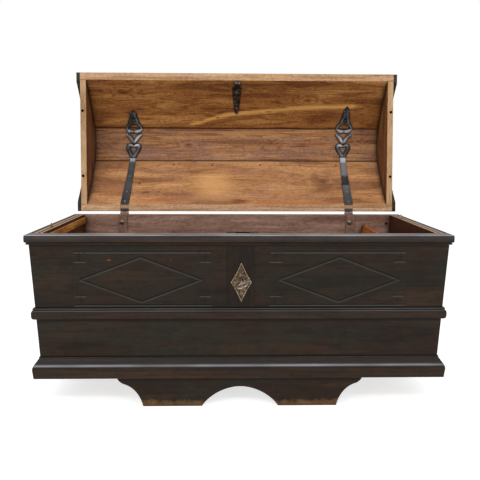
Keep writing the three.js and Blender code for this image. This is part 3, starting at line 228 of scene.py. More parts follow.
def addNode(tree, kind, inputs=(), stops=(), **settings):
    # One node: its settings, and its inputs, in order or by name, as plain values, hex colours or links.
    # Stops fill a colour ramp.
    node = tree.nodes.new("ShaderNode" + kind)
    for name, value in settings.items():
        setattr(node, name, value)
    for key, value in inputs.items() if isinstance(inputs, dict) else enumerate(inputs):
        if isinstance(value, bpy.types.Node):
            value = value.outputs[0]
        if isinstance(value, bpy.types.NodeSocket):
            tree.links.new(value, node.inputs[key])
        else:
            node.inputs[key].default_value = linear(value) if isinstance(value, str) else value
    for n, (place, tone) in enumerate(stops):
        if n >= len(node.color_ramp.elements):
            node.color_ramp.elements.new(1.0)
        node.color_ramp.elements[n].position = place
        node.color_ramp.elements[n].color = linear(tone)
    return node


def newTree(name):
    # an empty material and its node tree
    material = bpy.data.materials.new(name)
    material.use_nodes = True
    material.node_tree.nodes.clear()
    return material, material.node_tree


def stretched(tree, spot, axis, along, across):
    # puts a pattern to its real size in millimetres, along the grain and across it
    scale = [1000 / across] * 3
    scale["xyz".index(axis)] = 1000 / along
    return addNode(tree, "Mapping", {"Vector": spot, "Scale": scale})


def away(tree, spot, place, size):
    # distance from a place, in units of a size for each direction
    scale = [1 / s for s in size]
    shift = [-p * s for p, s in zip(place, scale)]
    moved = addNode(tree, "Mapping", {"Vector": spot, "Scale": scale, "Location": shift})
    return addNode(tree, "VectorMath", [moved], operation="LENGTH").outputs["Value"]


def apart(tree, value, level):
    # |value - level|
    return addNode(tree, "Math", [addNode(tree, "Math", [value, level], operation="SUBTRACT")], operation="ABSOLUTE")


def cosine(tree, normal, direction):
    # how far a normal agrees with a direction
    return addNode(tree, "VectorMath", [normal, direction], operation="DOT_PRODUCT").outputs["Value"]


def marksOf(tree, look):
    # layers that go by the attributes of the mesh
    value = lambda mark: addNode(tree, "Attribute", attribute_name=mark).outputs["Fac"]
    return [("MIX", value(mark), 0, 1, *tone) for mark, *tone in look.get("marks", ())]


def layered(tree, colour, layers):
    # Each layer is laid over the last by a mask that grows from nought at its start to its strength where it is
    # full: (how it mixes, what it goes by, start, full, strength, colour).
    for kind, source, start, full, strength, tone in layers:
        mask = addNode(tree, "MapRange", [source, start, full, 0, strength])
        colour = addNode(tree, "Mix", {0: mask, 6: colour, 7: tone}, data_type="RGBA", blend_type=kind).outputs[2]
    return colour


def streakDistance(tree, run, split, fibres):
    # How far a point's height is from a bent line in X, more so near the line's ends, with the fibres added.
    first, last, low, high = run["x"][0], run["x"][-1], min(run["z"]), max(run["z"])
    span = addNode(tree, "MapRange", [split["X"], first, last])
    path = addNode(tree, "FloatCurve", {"Value": span})
    points = path.mapping.curves[0].points
    shares = [((x - first) / (last - first), (z - low) / (high - low)) for x, z in zip(run["x"], run["z"])]
    for share in shares[1:-1]:
        points.new(*share)
    points[0].location, points[len(points) - 1].location = shares[0], shares[-1]
    path.mapping.update()
    off = apart(tree, split["Z"], addNode(tree, "MapRange", [path, 0, 1, low, high]))
    ends = addNode(tree, "MapRange", [apart(tree, span, 0.5), 0.38, 0.5, 0, 0.05])
    off = addNode(tree, "Math", [off, ends], operation="ADD")
    return addNode(tree, "Math", [fibres, 0.05, off], operation="MULTIPLY_ADD")


def oak(name, base, **changes):
    # The figure is a stretched noise, raised round the knots. Its growth rings are the sine of it, so they
    # run as long lines and close round each knot. Fibres, pores and clouds lie over it, and then the marks.
    look = {**base, **changes}
    material, tree = newTree(name)
    axis, seed = look["axis"], look["seed"]
    surface = addNode(tree, "TexCoord").outputs
    spot, normal = surface["Object"], surface["Normal"]
    split = addNode(tree, "SeparateXYZ", [spot]).outputs
    moved = addNode(tree, "Mapping", {"Vector": spot, "Location": (seed, seed * 1.7, seed * 0.6)})

    def grain(part, detail, rough, distortion=0.0):
        # a noise as long and as wide as the look says
        place = stretched(tree, moved, axis, *look[part])
        inputs = {"Vector": place, "Scale": 1.0, "Detail": detail, "Roughness": rough, "Distortion": distortion}
        return addNode(tree, "TexNoise", inputs).outputs[0]

    figure, fibres = grain("figure", 2.5, 0.5, 0.3), grain("fibres", 4.0, 0.7)
    pores, clouds, patina = grain("pores", 2.0, 0.6), grain("clouds", 4.0, 0.6), grain("patina", 3.0, 0.65)
    raised, hearts = figure, []
    for place, size, lift in look.get("knots", ()):
        hearts.append(away(tree, spot, place, size))
        near = addNode(tree, "MapRange", [hearts[-1], 0, 1, lift, 0], interpolation_type="SMOOTHERSTEP")
        raised = addNode(tree, "Math", [raised, near], operation="ADD")
    rings = addNode(tree, "Math", [raised, look["rings"] * 2 * pi], operation="MULTIPLY")
    rings = addNode(tree, "Math", [rings], operation="SINE").outputs[0]
    colour = addNode(tree, "ValToRGB", [figure], zip((0.3, 0.5, 0.72), look["tones"])).outputs[0]
    up = cosine(tree, normal, (0, 0, 1))
    layers = [
        ("MULTIPLY", rings, 0.3, 1.0, *look["ring"]),
        ("MIX", clouds, 0.45, 0.66, *look["cloud"]),
        ("MULTIPLY", fibres, 0.56, 0.34, *look["fibre"]),
        ("MULTIPLY", pores, 0.54, 0.66, *look["pore"]),
        ("MULTIPLY", patina, 0.46, 0.64, *look["patch"]),
    ]
    layers += [("MIX", far, 0.22, 0.06, 0.55, "#332012") for far in hearts]
    if look.get("saw"):
        # upright marks of the pit saw, 5 mm apart and drawn as wide as they show
        place = stretched(tree, moved, "z", 70, 6)
        cuts = addNode(tree, "TexNoise", {"Vector": place, "Scale": 1.0, "Detail": 3.0, "Roughness": 0.7})
        layers.append(("MULTIPLY", cuts, 0.5, 0.34, look["saw"], "#7d6a58"))
    if look.get("streak"):
        # a run of pale sapwood
        off = streakDistance(tree, look["streak"], split, fibres)
        layers.append(("MIX", off, 0.038, 0.026, *look["streak"]["tone"]))
    for place, size, *tone in look.get("stains", ()):
        ragged = addNode(tree, "Math", [fibres, 1.4, away(tree, spot, place, size)], operation="MULTIPLY_ADD")
        layers.append(("MIX", ragged, 1.75, 1.05, *tone))
    if look.get("upper"):
        # painted shade: what slopes up is darkened
        layers.append(("MULTIPLY", up, 0.12, 0.34, *look["upper"]))
    for level, reach, strength in look.get("under", ()):
        # painted shadow along the edge of a moulding: by height from that edge
        layers.append(("MIX", apart(tree, split["Z"], level), reach, 0, strength, look["paintedShade"][1]))
    layers += marksOf(tree, look)
    if look.get("bare"):
        # the stain has worn off the feet near the floor, up to a ragged edge
        patch = addNode(tree, "TexNoise", {"Vector": spot, "Scale": 24.0, "Detail": 5.0, "Roughness": 0.65})
        edge = addNode(tree, "Math", [patch, -0.06, split["Z"]], operation="MULTIPLY_ADD")
        layers.append(("MIX", edge, 0, -0.03, *look["bare"]))
    if look.get("rubbed"):
        # where the rounded normal leaves the flat one, the stain has worn from the arris
        flat = addNode(tree, "NewGeometry").outputs["Normal"]
        soft = addNode(tree, "Bevel", {"Radius": 0.003}, samples=4)
        layers.append(("MIX", cosine(tree, flat, soft), 0.99, 0.85, *look["rubbed"]))
    for direction, tones in look.get("facing", ()):
        # the faces towards a direction have a finish of their own, mottled by fibres and clouds
        both = addNode(tree, "Math", [clouds, 0.5], operation="MULTIPLY")
        both = addNode(tree, "Math", [fibres, 0.5, both], operation="MULTIPLY_ADD")
        other = addNode(tree, "ValToRGB", [both], zip((0.38, 0.5, 0.62), tones)).outputs[0]
        layers.append(("MIX", cosine(tree, normal, direction), 0.45, 0.55, 1, other))
    if look.get("rim"):
        # bands on the rim of an end wall, bare and dark: by distance from the middle of the chest
        side = addNode(tree, "Math", [split["X"]], operation="ABSOLUTE")
        ragged = addNode(tree, "Math", [fibres, 0.004, side], operation="MULTIPLY_ADD")
        bands = addNode(tree, "ValToRGB", [addNode(tree, "MapRange", [ragged, 0.748, 0.804])], look["rim"]).outputs[0]
        layers.append(("MIX", up, 0.8, 0.9, 1, bands))
    # painted shade where another surface is near, by ambient occlusion
    near = addNode(tree, "AmbientOcclusion", {"Distance": 0.03}, samples=8).outputs["AO"]
    layers.append(("MIX", near, 0.92, 0.45, *look["paintedShade"]))
    rough = addNode(tree, "MapRange", [fibres, 0.3, 0.7, *look["rough"]])
    if look.get("dusty"):
        # what faces up is dulled by dust
        dull = addNode(tree, "MapRange", [up, 0.7, 0.97, 0, look["dusty"]])
        rough = addNode(tree, "Math", [rough, dull], operation="MAXIMUM")
    height = addNode(tree, "Math", [pores, -0.8, fibres], operation="MULTIPLY_ADD")
    height = addNode(tree, "Math", [rings, -0.12, height], operation="MULTIPLY_ADD")
    relief = {"Height": height, "Strength": look["bump"], "Distance": 0.0008}
    if look.get("edge"):
        relief["Normal"] = addNode(tree, "Bevel", {"Radius": look["edge"] * mm}, samples=4)
    shader = addNode(tree, "BsdfPrincipled", {
        "Base Color": layered(tree, colour, layers), "Roughness": rough, "Normal": addNode(tree, "Bump", relief),
        "IOR": 1.5, "Specular IOR Level": look["gloss"],
    })
    addNode(tree, "OutputMaterial", {"Surface": shader})
    return material


# Old oak under a nearly black stain, waxed. The eye gets a deep brown with cooler grey-green clouds, long soft
# fibres, fine open pores and a dull sheen. Pores are drawn 1.8 mm wide, several times the real ones.
stained = {
    "axis": "x", "figure": (900, 60), "rings": 6, "fibres": (200, 5), "pores": (30, 1.8), "clouds": (300, 130),
    "patina": (44, 26), "tones": ("#1f150d", "#2c1e14", "#39281b"), "ring": (0.4, "#6b5f58"), "cloud": (0.7, "#24261d"),
    "fibre": (0.3, "#4a423c"), "pore": (0.45, "#3a332e"), "patch": (0.35, "#7d7670"), "rubbed": (0.4, "#4a382c"),
    # paintedShade: strength and colour of the painted shade in corners and under the mouldings
    "paintedShade": (0.85, "#0b0806"), "dusty": 0.8,
    # under lists (height, reach, strength) of the painted shadow bands beside the mouldings
    "under": ((0.6465, 0.018, 0.85), (0.401, 0.009, 0.7), (0.353, 0.016, 0.65), (0.204, 0.009, 0.85)),
    "rough": (0.4, 0.58), "bump": 0.4, "gloss": 0.15, "edge": 1.4, "seed": 1.0,
}
# The same finish on turned or carried pieces, whose arrises are in the mesh.
stainedMesh = {**stained, "edge": 0, "rubbed": None}
# Old oak inside, never stained, darkened by age and handling. The eye gets a warm brown with flamed figure, dark
# fibres, knots with rings round them, and blotches from damp and iron.
aged = {
    "axis": "x", "figure": (460, 46), "rings": 6, "fibres": (210, 4.5), "pores": (22, 2.4), "clouds": (210, 75),
    "patina": (16, 9), "tones": ("#8a5a30", "#ab7440", "#c68f58"), "ring": (0.6, "#9a7050"), "cloud": (0.55, "#7a4f30"),
    # paintedShade: strength and colour of the painted shade in corners
    "fibre": (0.3, "#7d604a"), "pore": (0.28, "#6a503c"), "patch": (0.4, "#a88a70"), "paintedShade": (0.9, "#1a0f08"),
    "rough": (0.5, 0.72), "bump": 0.5, "gloss": 0.2, "edge": 0, "seed": 1.0,
}


def metal(name, **look):
    # Forged or cast metal: dents from a noise, grime and bright rubbed places from two more.
    material, tree = newTree(name)
    spot = addNode(tree, "TexCoord").outputs["Object"]
    dents, fine, grime = (
        addNode(tree, "TexNoise", {
            "Vector": spot, "Scale": 1000 / look[part], "Detail": detail, "Roughness": rough,
        }).outputs[0] for part, detail, rough in (("dents", 2.0, 0.5), ("grit", 5.0, 0.7), ("grime", 4.0, 0.6))
    )
    colour = addNode(tree, "ValToRGB", [grime], zip((0.36, 0.52, 0.68), look["tones"])).outputs[0]
    layers, height = [("MULTIPLY", fine, 0.6, 0.3, 0.5, "#8a8a8a")], fine
    if look.get("chased"):
        # scrollwork: soft cells some millimetres wide, dark in their hollows
        cells = {"Vector": spot, "Scale": 1000 / look["chased"], "Randomness": 0.8}
        scroll = addNode(tree, "TexVoronoi", cells, feature="SMOOTH_F1").outputs["Distance"]
        layers.append(("MULTIPLY", scroll, 0.42, 0.62, 0.9, look["hollow"]))
        height = addNode(tree, "Math", [scroll, -2.5, fine], operation="MULTIPLY_ADD")
    layers += marksOf(tree, look)
    low, high = look["rough"]
    height = addNode(tree, "Math", [dents, look["dentDeep"], height], operation="MULTIPLY_ADD")
    shader = addNode(tree, "BsdfPrincipled", {
        "Base Color": layered(tree, colour, layers), "Metallic": look["metallic"],
        "Roughness": addNode(tree, "MapRange", [grime, 0.35, 0.65, high, low]),
        "Specular IOR Level": look.get("gloss", 0.5),
        "Normal": addNode(tree, "Bump", {"Height": height, "Strength": look["bump"], "Distance": 0.0005}),
    })
    addNode(tree, "OutputMaterial", {"Surface": shader})
    return material


# Wrought iron under old black wax: near black with little gleam, and painted pale on its high places, both worn and a
# painted glint.
blackIron = metal(
    "blackenedIron", dents=10, grit=1.8, grime=26, tones=("#090909", "#111112", "#202124"), rough=(0.3, 0.5),
    metallic=0.1, gloss=0.16, dentDeep=3.0, bump=0.5, marks=[("edge", 0.95, "#b9bcc2"), ("mark", 0.9, "#a8835e")],
)
# Iron rubbed by hands and tools, as on nail and bolt heads: a brown steel grey.
rubbedIron = metal(
    "rubbedIron", dents=6, grit=1.2, grime=16, tones=("#4a3c32", "#7d6a5a", "#b3a394"), rough=(0.26, 0.42),
    metallic=0.7, dentDeep=2.0, bump=0.4,
)
# The key is filed steel, bright from use, with a little brown in its corners.
keySteel = metal(
    "filedSteel", dents=12, grit=1.0, grime=9, tones=("#6b5e54", "#a39588", "#d2c6ba"), rough=(0.2, 0.36),
    metallic=0.6, dentDeep=0.8, bump=0.2,
)
# Iron under brown oxide, as on the hinge leaves against the back wall: hardly any gleam.
rustIron = metal(
    "rustedIron", dents=10, grit=1.6, grime=24, tones=("#6b4f44", "#7d6053", "#8d6f61"), rough=(0.6, 0.8),
    metallic=0.1, gloss=0.2, dentDeep=2.4, bump=0.5,
)
# The lock plate's pins are dark red with rust.
pinIron = metal(
    "rustedPins", dents=6, grit=1.2, grime=10, tones=("#2c1712", "#4a2822", "#6b463a"), rough=(0.4, 0.6),
    metallic=0.3, dentDeep=2.0, bump=0.5,
)
# The catch plate is chased iron: dark hollows, brown-grey ridges.
chasedIron = metal(
    "chasedIron", dents=7, grit=1.3, grime=14, tones=("#2a231d", "#453a31", "#6e6154"), rough=(0.3, 0.5),
    metallic=0.5, dentDeep=1.6, bump=0.6, chased=9, hollow="#3a322b",
)
# Cast brass with chased ornament, dulled to a grey gold and dark in its hollows.
chasedBrass = metal(
    "chasedBrass", dents=14, grit=1.5, grime=9, tones=("#41352a", "#665338", "#8f7c5c"), rough=(0.36, 0.55),
    metallic=0.6, dentDeep=0.6, bump=0.8, chased=7, hollow="#4f4030",
)
# The plate's raised border is rubbed lighter, with dark dirt between its beads.
rubbedBrass = metal(
    "rubbedBrass", dents=14, grit=1.6, grime=7, tones=("#55472f", "#8d7e64", "#bcae94"), rough=(0.26, 0.42),
    metallic=0.6, dentDeep=0.6, bump=0.3,
)

# The stained outside. Marks are (attribute, strength, colour) and stains (place, size, strength, colour).
# a painted highlight along the mouldings' arrises, pale blue-grey
arrisHighlight = [("mark", 0.95, "#8f8e92")]
# the carving's cuts: painted shade on their upper sides and in the rosettes' petals, painted highlight on their lower
# sides
groove = [("mark", 0.95, "#0b0806"), ("edge", 0.5, "#5a5b55")]
chips = [
    ((-0.492, -0.42, 0.5875), (0.011, 0.02, 0.0028), 0.9, "#8a4a28"),
    ((-0.262, -0.42, 0.5875), (0.006, 0.02, 0.006), 0.5, "#5a3827"),
]
# painted shadow in the gaps beside the stile: two dark upright lines
shadeBesideStile = [((x, -0.46, 0.525), (0.0065, 1.0, 0.3), 0.8, "#0b0b08") for x in (-0.0495, 0.0475)]
panelOak = oak(
    "carvedStainedOak", stainedMesh, seed=3.1, cloud=(0.75, "#1f2119"), marks=groove, stains=chips + shadeBesideStile,
)
frontOak = oak("stainedOakBoard", stained, seed=7.7, cloud=(0.85, "#25271e"))
stileOak = oak("stainedOakStile", stained, axis="z", seed=2.2, tones=("#170f0a", "#221811", "#2c1f16"))
# The mouldings carry a painted highlight along their arrises and painted shade on their upward slopes.
mouldOak = oak(
    "stainedOakMoulding", stainedMesh, seed=5.4, figure=(900, 26), tones=("#24180f", "#342419", "#44301f"),
    cloud=(0.4, "#22221c"), rough=(0.36, 0.5), marks=arrisHighlight, upper=(0.75, "#6e6864"), under=(),
)
footOak = oak("stainedOakFoot", stainedMesh, seed=9.3, bare=(0.95, "#8a6640"), cloud=(0.85, "#272920"))
lidOuterOak = oak("stainedOakLid", stainedMesh, seed=6.1, tones=("#241911", "#34261b", "#443325"))
outside = ("#1a1009", "#2c1f15", "#413023")
bothEnds = [((side, 0, 0), outside) for side in (-1, 1)]
rimBands = [
    (0.0, "#a08a76"), (0.14, "#a8917d"), (0.2, "#1c130e"), (0.27, "#1c130e"), (0.33, "#846a52"), (0.56, "#937a62"),
    (0.62, "#140e0a"), (1.0, "#100b08"),
]
# The case's boards are bare on the inner face, which "facing" gives by its direction.
endOak = {
    label: oak(
        f"stainedOak{label.title()}End", stained, axis="y", seed=seed, rim=rimBands, facing=[((-side, 0, 0), tones)],
    ) for label, side, seed, tones in (
        ("left", -1, 1.4, ("#2c190c", "#452813", "#5b371a")), ("right", 1, 4.9, ("#24120b", "#381d12", "#482718")),
    )
}
# The front board is bare on its inner face; its top face is painted pale grey, a painted sheen.
frontInner = oak("stainedOakFront", stained, seed=3.1, facing=[
    ((0, 1, 0), ("#4f3624", "#75543a", "#8f6a4a")), ((0, 0, 1), ("#4c443f", "#6b625c", "#8a8079")),
])
backOak = oak(
    "agedOakBack", aged, seed=8.2, tones=("#74574a", "#957465", "#ab8a78"), cloud=(0.5, "#6b4c40"),
    ring=(0.4, "#b59a8c"), fibre=(0.4, "#7a6458"), stains=[((0.71, 0.2, 0.66), (0.04, 0.3, 0.02), 0.3, "#7a4428")],
    facing=[((0, 1, 0), outside), *bothEnds],
)
floorOak = oak("agedOakFloor", aged, seed=6.6, tones=("#5d4128", "#7a5a3a", "#937050"))
tillOak = oak("agedOakTill", aged, axis="y", seed=2.8, tones=("#7a4018", "#a86026", "#c47a3a"), figure=(400, 30))
railOak = oak("agedOakRail", aged, axis="y", seed=3.9, tones=("#8a5420", "#b87832", "#d29a52"), figure=(400, 24))
lidEndOak = {
    label: oak(
        f"agedOakLidEnd{label.title()}", aged, axis="z", seed=5.9 * side, tones=("#5a3822", "#80532f", "#976842"),
        figure=(400, 40),
        facing=[((side, 0, 0), outside), ((0, 1, 0), outside), ((0, -1, 0), ("#80623f", "#aa8761", "#bf9c76"))],
    ) for label, side in sides
}
lipOak = oak(
    "agedOakLip", aged, seed=4.4, facing=bothEnds, figure=(500, 14), tones=("#a67d54", "#caa37c", "#dcb792"),
    cloud=(0.35, "#98704a"), ring=(0.3, "#c0a088"), fibre=(0.4, "#8f7158"),
)

# The lid's planks. Knots are (place, size, how much they raise the rings).
# the planks' mark is dark in their joints and a painted shade along the end boards
plank = {**aged, "marks": [("mark", 0.92, "#1a0f09")], "facing": bothEnds}
holePlaces = (-0.329, -0.129, 0.121, 0.329, 0.518)
holes = [((x, 0.455, 0.919), (0.0075, 0.05, 0.0055), 0.95, "#23140c") for x in holePlaces]
backPlank = oak(
    "agedOakBackPlank", plank, seed=1.3, tones=("#8b5e38", "#b38053", "#ca9866"), figure=(420, 50),
    cloud=(0.6, "#94694f"), ring=(0.4, "#9a7050"),
    knots=[((0.44, 0.38, 0.84), (0.16, 0.4, 0.075), 0.25), ((-0.46, 0.35, 0.785), (0.12, 0.4, 0.04), 0.3)],
    stains=[
        *holes,
        ((-0.497, 0.372, 0.826), (0.0065, 0.05, 0.005), 0.9, "#23140c"),
        ((-0.124, 0.36, 0.82), (0.13, 0.3, 0.085), 0.5, "#dba468"),
        ((0.435, 0.36, 0.811), (0.05, 0.3, 0.04), 0.45, "#55331c"),
        ((0.40, 0.36, 0.86), (0.03, 0.3, 0.045), 0.4, "#5e3c22"),
        ((0.47, 0.36, 0.885), (0.05, 0.3, 0.025), 0.35, "#6b4428"),
        ((0.012, 0.29, 0.741), (0.05, 0.3, 0.012), 0.7, "#5a3018"),
        ((-0.62, 0.36, 0.80), (0.10, 0.3, 0.07), 0.45, "#7d4e30"),
        ((0.25, 0.3, 0.735), (0.3, 0.3, 0.012), 0.5, "#b05e26"),
        ((-0.42, 0.3, 0.745), (0.2, 0.3, 0.014), 0.4, "#a85a28"),
    ],
)
middlePlank = oak(
    "agedOakMiddlePlank", plank, seed=4.6, tones=("#85583a", "#a5754c", "#bb8e60"), figure=(560, 32),
    cloud=(0.75, "#826053"),
    knots=[
        ((0.179, 0.5, 1.033), (0.09, 0.4, 0.05), 0.3), ((-0.255, 0.5, 1.022), (0.08, 0.4, 0.035), 0.2),
        ((-0.64, 0.5, 1.03), (0.14, 0.4, 0.06), 0.35), ((0.60, 0.5, 1.04), (0.12, 0.4, 0.04), 0.25),
    ],
    stains=[
        ((-0.62, 0.5, 1.03), (0.12, 0.3, 0.05), 0.35, "#6e4a3a"),
        # a painted highlight along the plank's upper edge, by the joint with the front plank
        ((0.1, 0.49, 1.088), (0.5, 0.3, 0.006), 0.5, "#c98c50"),
    ],
)
frontPlank = oak(
    "agedOakFrontPlank", plank, seed=2.4, saw=0.4, tones=("#83502a", "#aa733c", "#c79254"), figure=(360, 40),
    cloud=(0.6, "#804a26"),
    knots=[
        ((0.358, 0.4, 1.247), (0.10, 0.4, 0.04), 0.3), ((0.061, 0.38, 1.286), (0.10, 0.4, 0.03), 0.25),
        ((-0.57, 0.39, 1.274), (0.12, 0.4, 0.05), 0.3), ((-0.373, 0.46, 1.138), (0.05, 0.4, 0.02), 0.2),
    ],
    streak={
        "x": (-0.36, -0.2, -0.13, -0.02, 0.185, 0.335, 0.53, 0.72),
        "z": (1.105, 1.135, 1.155, 1.178, 1.196, 1.209, 1.216, 1.24), "tone": (0.85, "#dba65c"),
    },
    stains=[
        ((-0.10, 0.44, 1.16), (0.012, 0.3, 0.004), 0.8, "#2c1a0e"),
        ((0.16, 0.44, 1.19), (0.02, 0.3, 0.004), 0.8, "#3a2412"),
        ((0.0, 0.4, 1.31), (0.7, 0.3, 0.012), 0.5, "#4f3216"),
    ],
)
pegOak = {
    "left": oak("whittledPegLeft", aged, axis="z", seed=1.1, tones=("#9a541f", "#c47834", "#d8924e")),
    "right": oak("whittledPegRight", aged, axis="z", seed=1.9, tones=("#b0926a", "#d0b388", "#e4cda8")),
}
print("materials ready")

# mouldings: a profile of (set in, height) carried along the front and the ends, mitred at the corners

moulding = {
    "arris": 0.7,  # rounding of the sharp edges
    "stations": 90,
    "uneven": 0.16,
    "calm": 4,  # the unevenness dies out over this depth towards the wall
    "mitre": 0.15,  # gap on each side of a mitre
    "topBand": 29, "topRound": 5, "topGroove": 1.6, "topUnder": 5, "quirk": 2, "beadSet": 4.5, "bead": 3.25,
    "midTop": 400, "midFillet": 5, "midFilletProud": 8, "midBand": 39, "midProud": 14, "midSquare": 0.7,
    "plinthTop": 204, "plinthFillet": 5, "plinthFilletProud": 4, "plinthSlope": 31, "plinthSet": 1.6, "plinthRound": 13,
    "plinthLean": 4, "plinthUnder": 3,
}


def againstWall(z):
    # the profile's own back, a gap off the wall
    return [wallSet(z) - chest["gap"], z]


def topRuns(m):
    # a band with a groove under its rounded top, then a quirk and a small bead
    rim, upper, lower, cut = chest["rim"], m["topRound"], m["topUnder"], m["topGroove"]
    foot, groove = rim - m["topBand"], rim - upper
    beadTop = foot - m["quirk"]
    inner = againstWall(beadTop - m["bead"] * 2)
    bead = arc((m["beadSet"] + m["bead"], beadTop - m["bead"]), m["bead"], 1, 3, 15)
    return [
        *chain(inner, againstWall(rim), [upper, rim]),
        arc((upper, groove), upper, 1, 2),
        *chain([0, groove], [cut, groove - cut * 0.6], [cut, groove - cut], [0, groove - cut * 1.6], [0, foot + lower]),
        arc((lower, foot + lower), lower, 2, 3),
        *chain([lower, foot], [lower + 1, foot], [m["beadSet"] + cut, beadTop], bead[0]),
        bead,
        line(bead[-1], inner),
    ]


def midRuns(m):
    # a fillet over a half round: set in and height follow |cos|^p and |sin|^p
    top, bandTop = m["midTop"], m["midTop"] - m["midFillet"]
    low = bandTop - m["midBand"]
    middle = (bandTop + low) / 2
    turn = np.linspace(1, -1, 25) * pi / 2
    swell = np.abs(np.cos(turn)) ** m["midSquare"] * (m["midProud"] - 1)
    rise = np.sign(turn) * np.abs(np.sin(turn)) ** m["midSquare"] * m["midBand"] / 2
    half = np.stack([wallSet(middle) - 1 - swell, middle + rise], -1)
    fillet = wallSet(top) - m["midFilletProud"]
    inner = againstWall(low)
    return [*chain(inner, againstWall(top), [fillet, top], [fillet, bandTop], half[0]), half, line(half[-1], inner)]


def plinthRuns(m):
    # a fillet, a slope, a round arris, and a face that leans in to its foot
    foot, top = chest["footHigh"], m["plinthTop"]
    slopeTop = np.array([wallSet(top) - m["plinthFilletProud"], top - m["plinthFillet"]])
    corner = np.array([m["plinthSet"], slopeTop[1] - m["plinthSlope"]])
    under = np.array([m["plinthSet"] + m["plinthLean"], foot])
    start, end = (corner + unit(other - corner) * m["plinthRound"] for other in (slopeTop, under))
    low, back = under + unit(corner - under) * m["plinthUnder"], under + [m["plinthUnder"], 0]
    inner = againstWall(foot)
    return [
        *chain(inner, againstWall(top), [slopeTop[0], top], slopeTop),
        line(slopeTop, start, 9),
        bend(start, corner, end, 13),
        line(end, low),
        bend(low, under, back, 13),
        line(back, inner),
    ]


def mouldingPieces(label, runs, seed, worn):
    # One run along the front and one along each end, each point as far in as its profile is. worn lists (set in,
    # height, reach, strength) of the lines of painted highlight along the arrises, as exp(-(distance / reach)^2).
    loop = smoothLoop(runs, moulding["arris"])
    inset, height = loop.T
    mark = sum(s * np.exp(-((np.hypot(inset - a, height - b) / reach) ** 2)) for a, b, reach, s in worn)
    share = np.linspace(0, 1, moulding["stations"])[:, None]
    outer = np.clip((wallSet(height) - inset) / moulding["calm"], 0, 1)
    near = inset + moulding["mitre"]
    x = (chest["half"] - near) * (2 * share - 1)
    y = near + (backFace - near) * share
    mark = mark.clip(0, 1) * (0.75 + wander(x, 0.12, seed * 3)).clip(0, 1)
    drift = lambda place, own: (wander(place, moulding["uneven"], own) * outer).clip(0)
    swept = [("front", x, inset + drift(x, seed))]
    for word, side in sides:
        swept.append((word, side * (chest["half"] - inset - drift(y, seed + side)), y))
    for word, x, y in swept:
        rings = np.stack(np.broadcast_arrays(x, y, height), -1)
        makePiece(f"{label}{word.title()}Run", [loft(rings)], mouldOak, "carcase", [f"{label}_{word}"],
                  marks={"mark": mark})


# lines of painted highlight on each moulding, as (set in, height, reach, strength); the plinth's is given below
topHighlights = [(1.4, 682.6, 2.2, 1.0), (6, 684, 5, 0.75), (0.6, 675, 1.0, 0.3)]
midHighlights = [(wallSet(400) - 8, 399, 2, 0.3), (wallSet(375) - 11, 391, 2, 0.25)]
mouldingPieces("top_moulding", topRuns(moulding), 0.4, topHighlights)
mouldingPieces("mid_moulding", midRuns(moulding), 1.9, midHighlights)
mouldingPieces("plinth", plinthRuns(moulding), 3.3, [(6, 174.8, 4, 1.0)])
print("mouldings ready")

# feet: one outline of ogees and an arch, run through the board's thickness with rubbed edges

foot = {
    "thick": 34, "frontSet": 24, "backInset": 18, "topHalf": 482, "padOuter": 380, "padInner": 150, "arch": 81,
    "rub": 1.6,
    "ogee": ((1, 1), (0.95, 0.85), (0.75, 0.76), (0.18, 0.62), (0, 0)),  # shares of the way in and of the height
    "archBend": ((1, 0), (0.8, 0.57), (0.38, 1), (0, 1)),
}


def footLoop(f):
    # The right half: two bends make the ogee from the top to the pad, and a cubic the arch to the middle.
    ogee = np.array(f["ogee"]) * [f["topHalf"] - f["padOuter"], chest["footHigh"]] + [f["padOuter"], 0]
    u = np.linspace(0, 1, 30)[:, None]
    a, b, c, d = np.array(f["archBend"]) * [f["padInner"], f["arch"]]
    rise = (1 - u) ** 3 * a + 3 * u * (1 - u) ** 2 * b + 3 * u**2 * (1 - u) * c + u**3 * d
    pad = line([f["padOuter"], 0], [f["padInner"], 0], 12)[1:-1]
    right = np.concatenate([bend(*ogee[:3], 14), bend(*ogee[2:], 14)[1:], pad, rise])
    return np.concatenate([right, right[-2::-1] * [-1, 1]])


def footBoard(name, near, stands):
    # the outline at two depths, with a bevel where hands and floors have rubbed it
    x, z = footLoop(foot).T
    rings = np.stack([np.stack([x, np.full(len(x), y), z], -1) for y in (near, near + foot["thick"])])
    piece = makePiece(name, [loft(rings)], footOak, "carcase", [stands], crease=30)
    rub = piece.modifiers.new("rubbedEdges", "BEVEL")
    rub.width, rub.segments, rub.limit_method, rub.angle_limit = foot["rub"] * mm, 2, "ANGLE", radians(50)


footBoard("frontFootBoard", foot["frontSet"], "foot_front")
footBoard("backFootBoard", backFace - foot["backInset"] - foot["thick"], "foot_back")
print("feet ready")

# the carved front: a height field over the upper board

carving = {
    "panelCentre": 368, "half": 257, "low": 411, "high": 617,
    "lozengeShift": 7, "lozengeHalf": 227, "lozengeRise": 87, "lozengeCentre": 511,
    "cornerWide": 44, "cornerHigh": 36,
    "lineHalf": 4.6, "deep": 2.2, "burr": 0.4,
    "proud": 2.5, "proudAtEnd": 0.45, "fade": 30,
    "petal": 9, "petalSwing": 8, "petalDeep": 2.2, "button": 3.2,
    "boardLow": 402, "boardHigh": 652, "side": 14, "thick": 3.5,
    "fine": 1.8, "coarse": 12,  # grid steps
}


def segmentDistance(x, z, a, b):
    # distance from each point to the segment from a to b
    a, b = np.asarray(a, float), np.asarray(b, float)
    run = b - a
    t = np.clip(((x - a[0]) * run[0] + (z - a[1]) * run[1]) / (run @ run), 0, 1)
    return np.hypot(x - a[0] - run[0] * t, z - a[1] - run[1] * t)


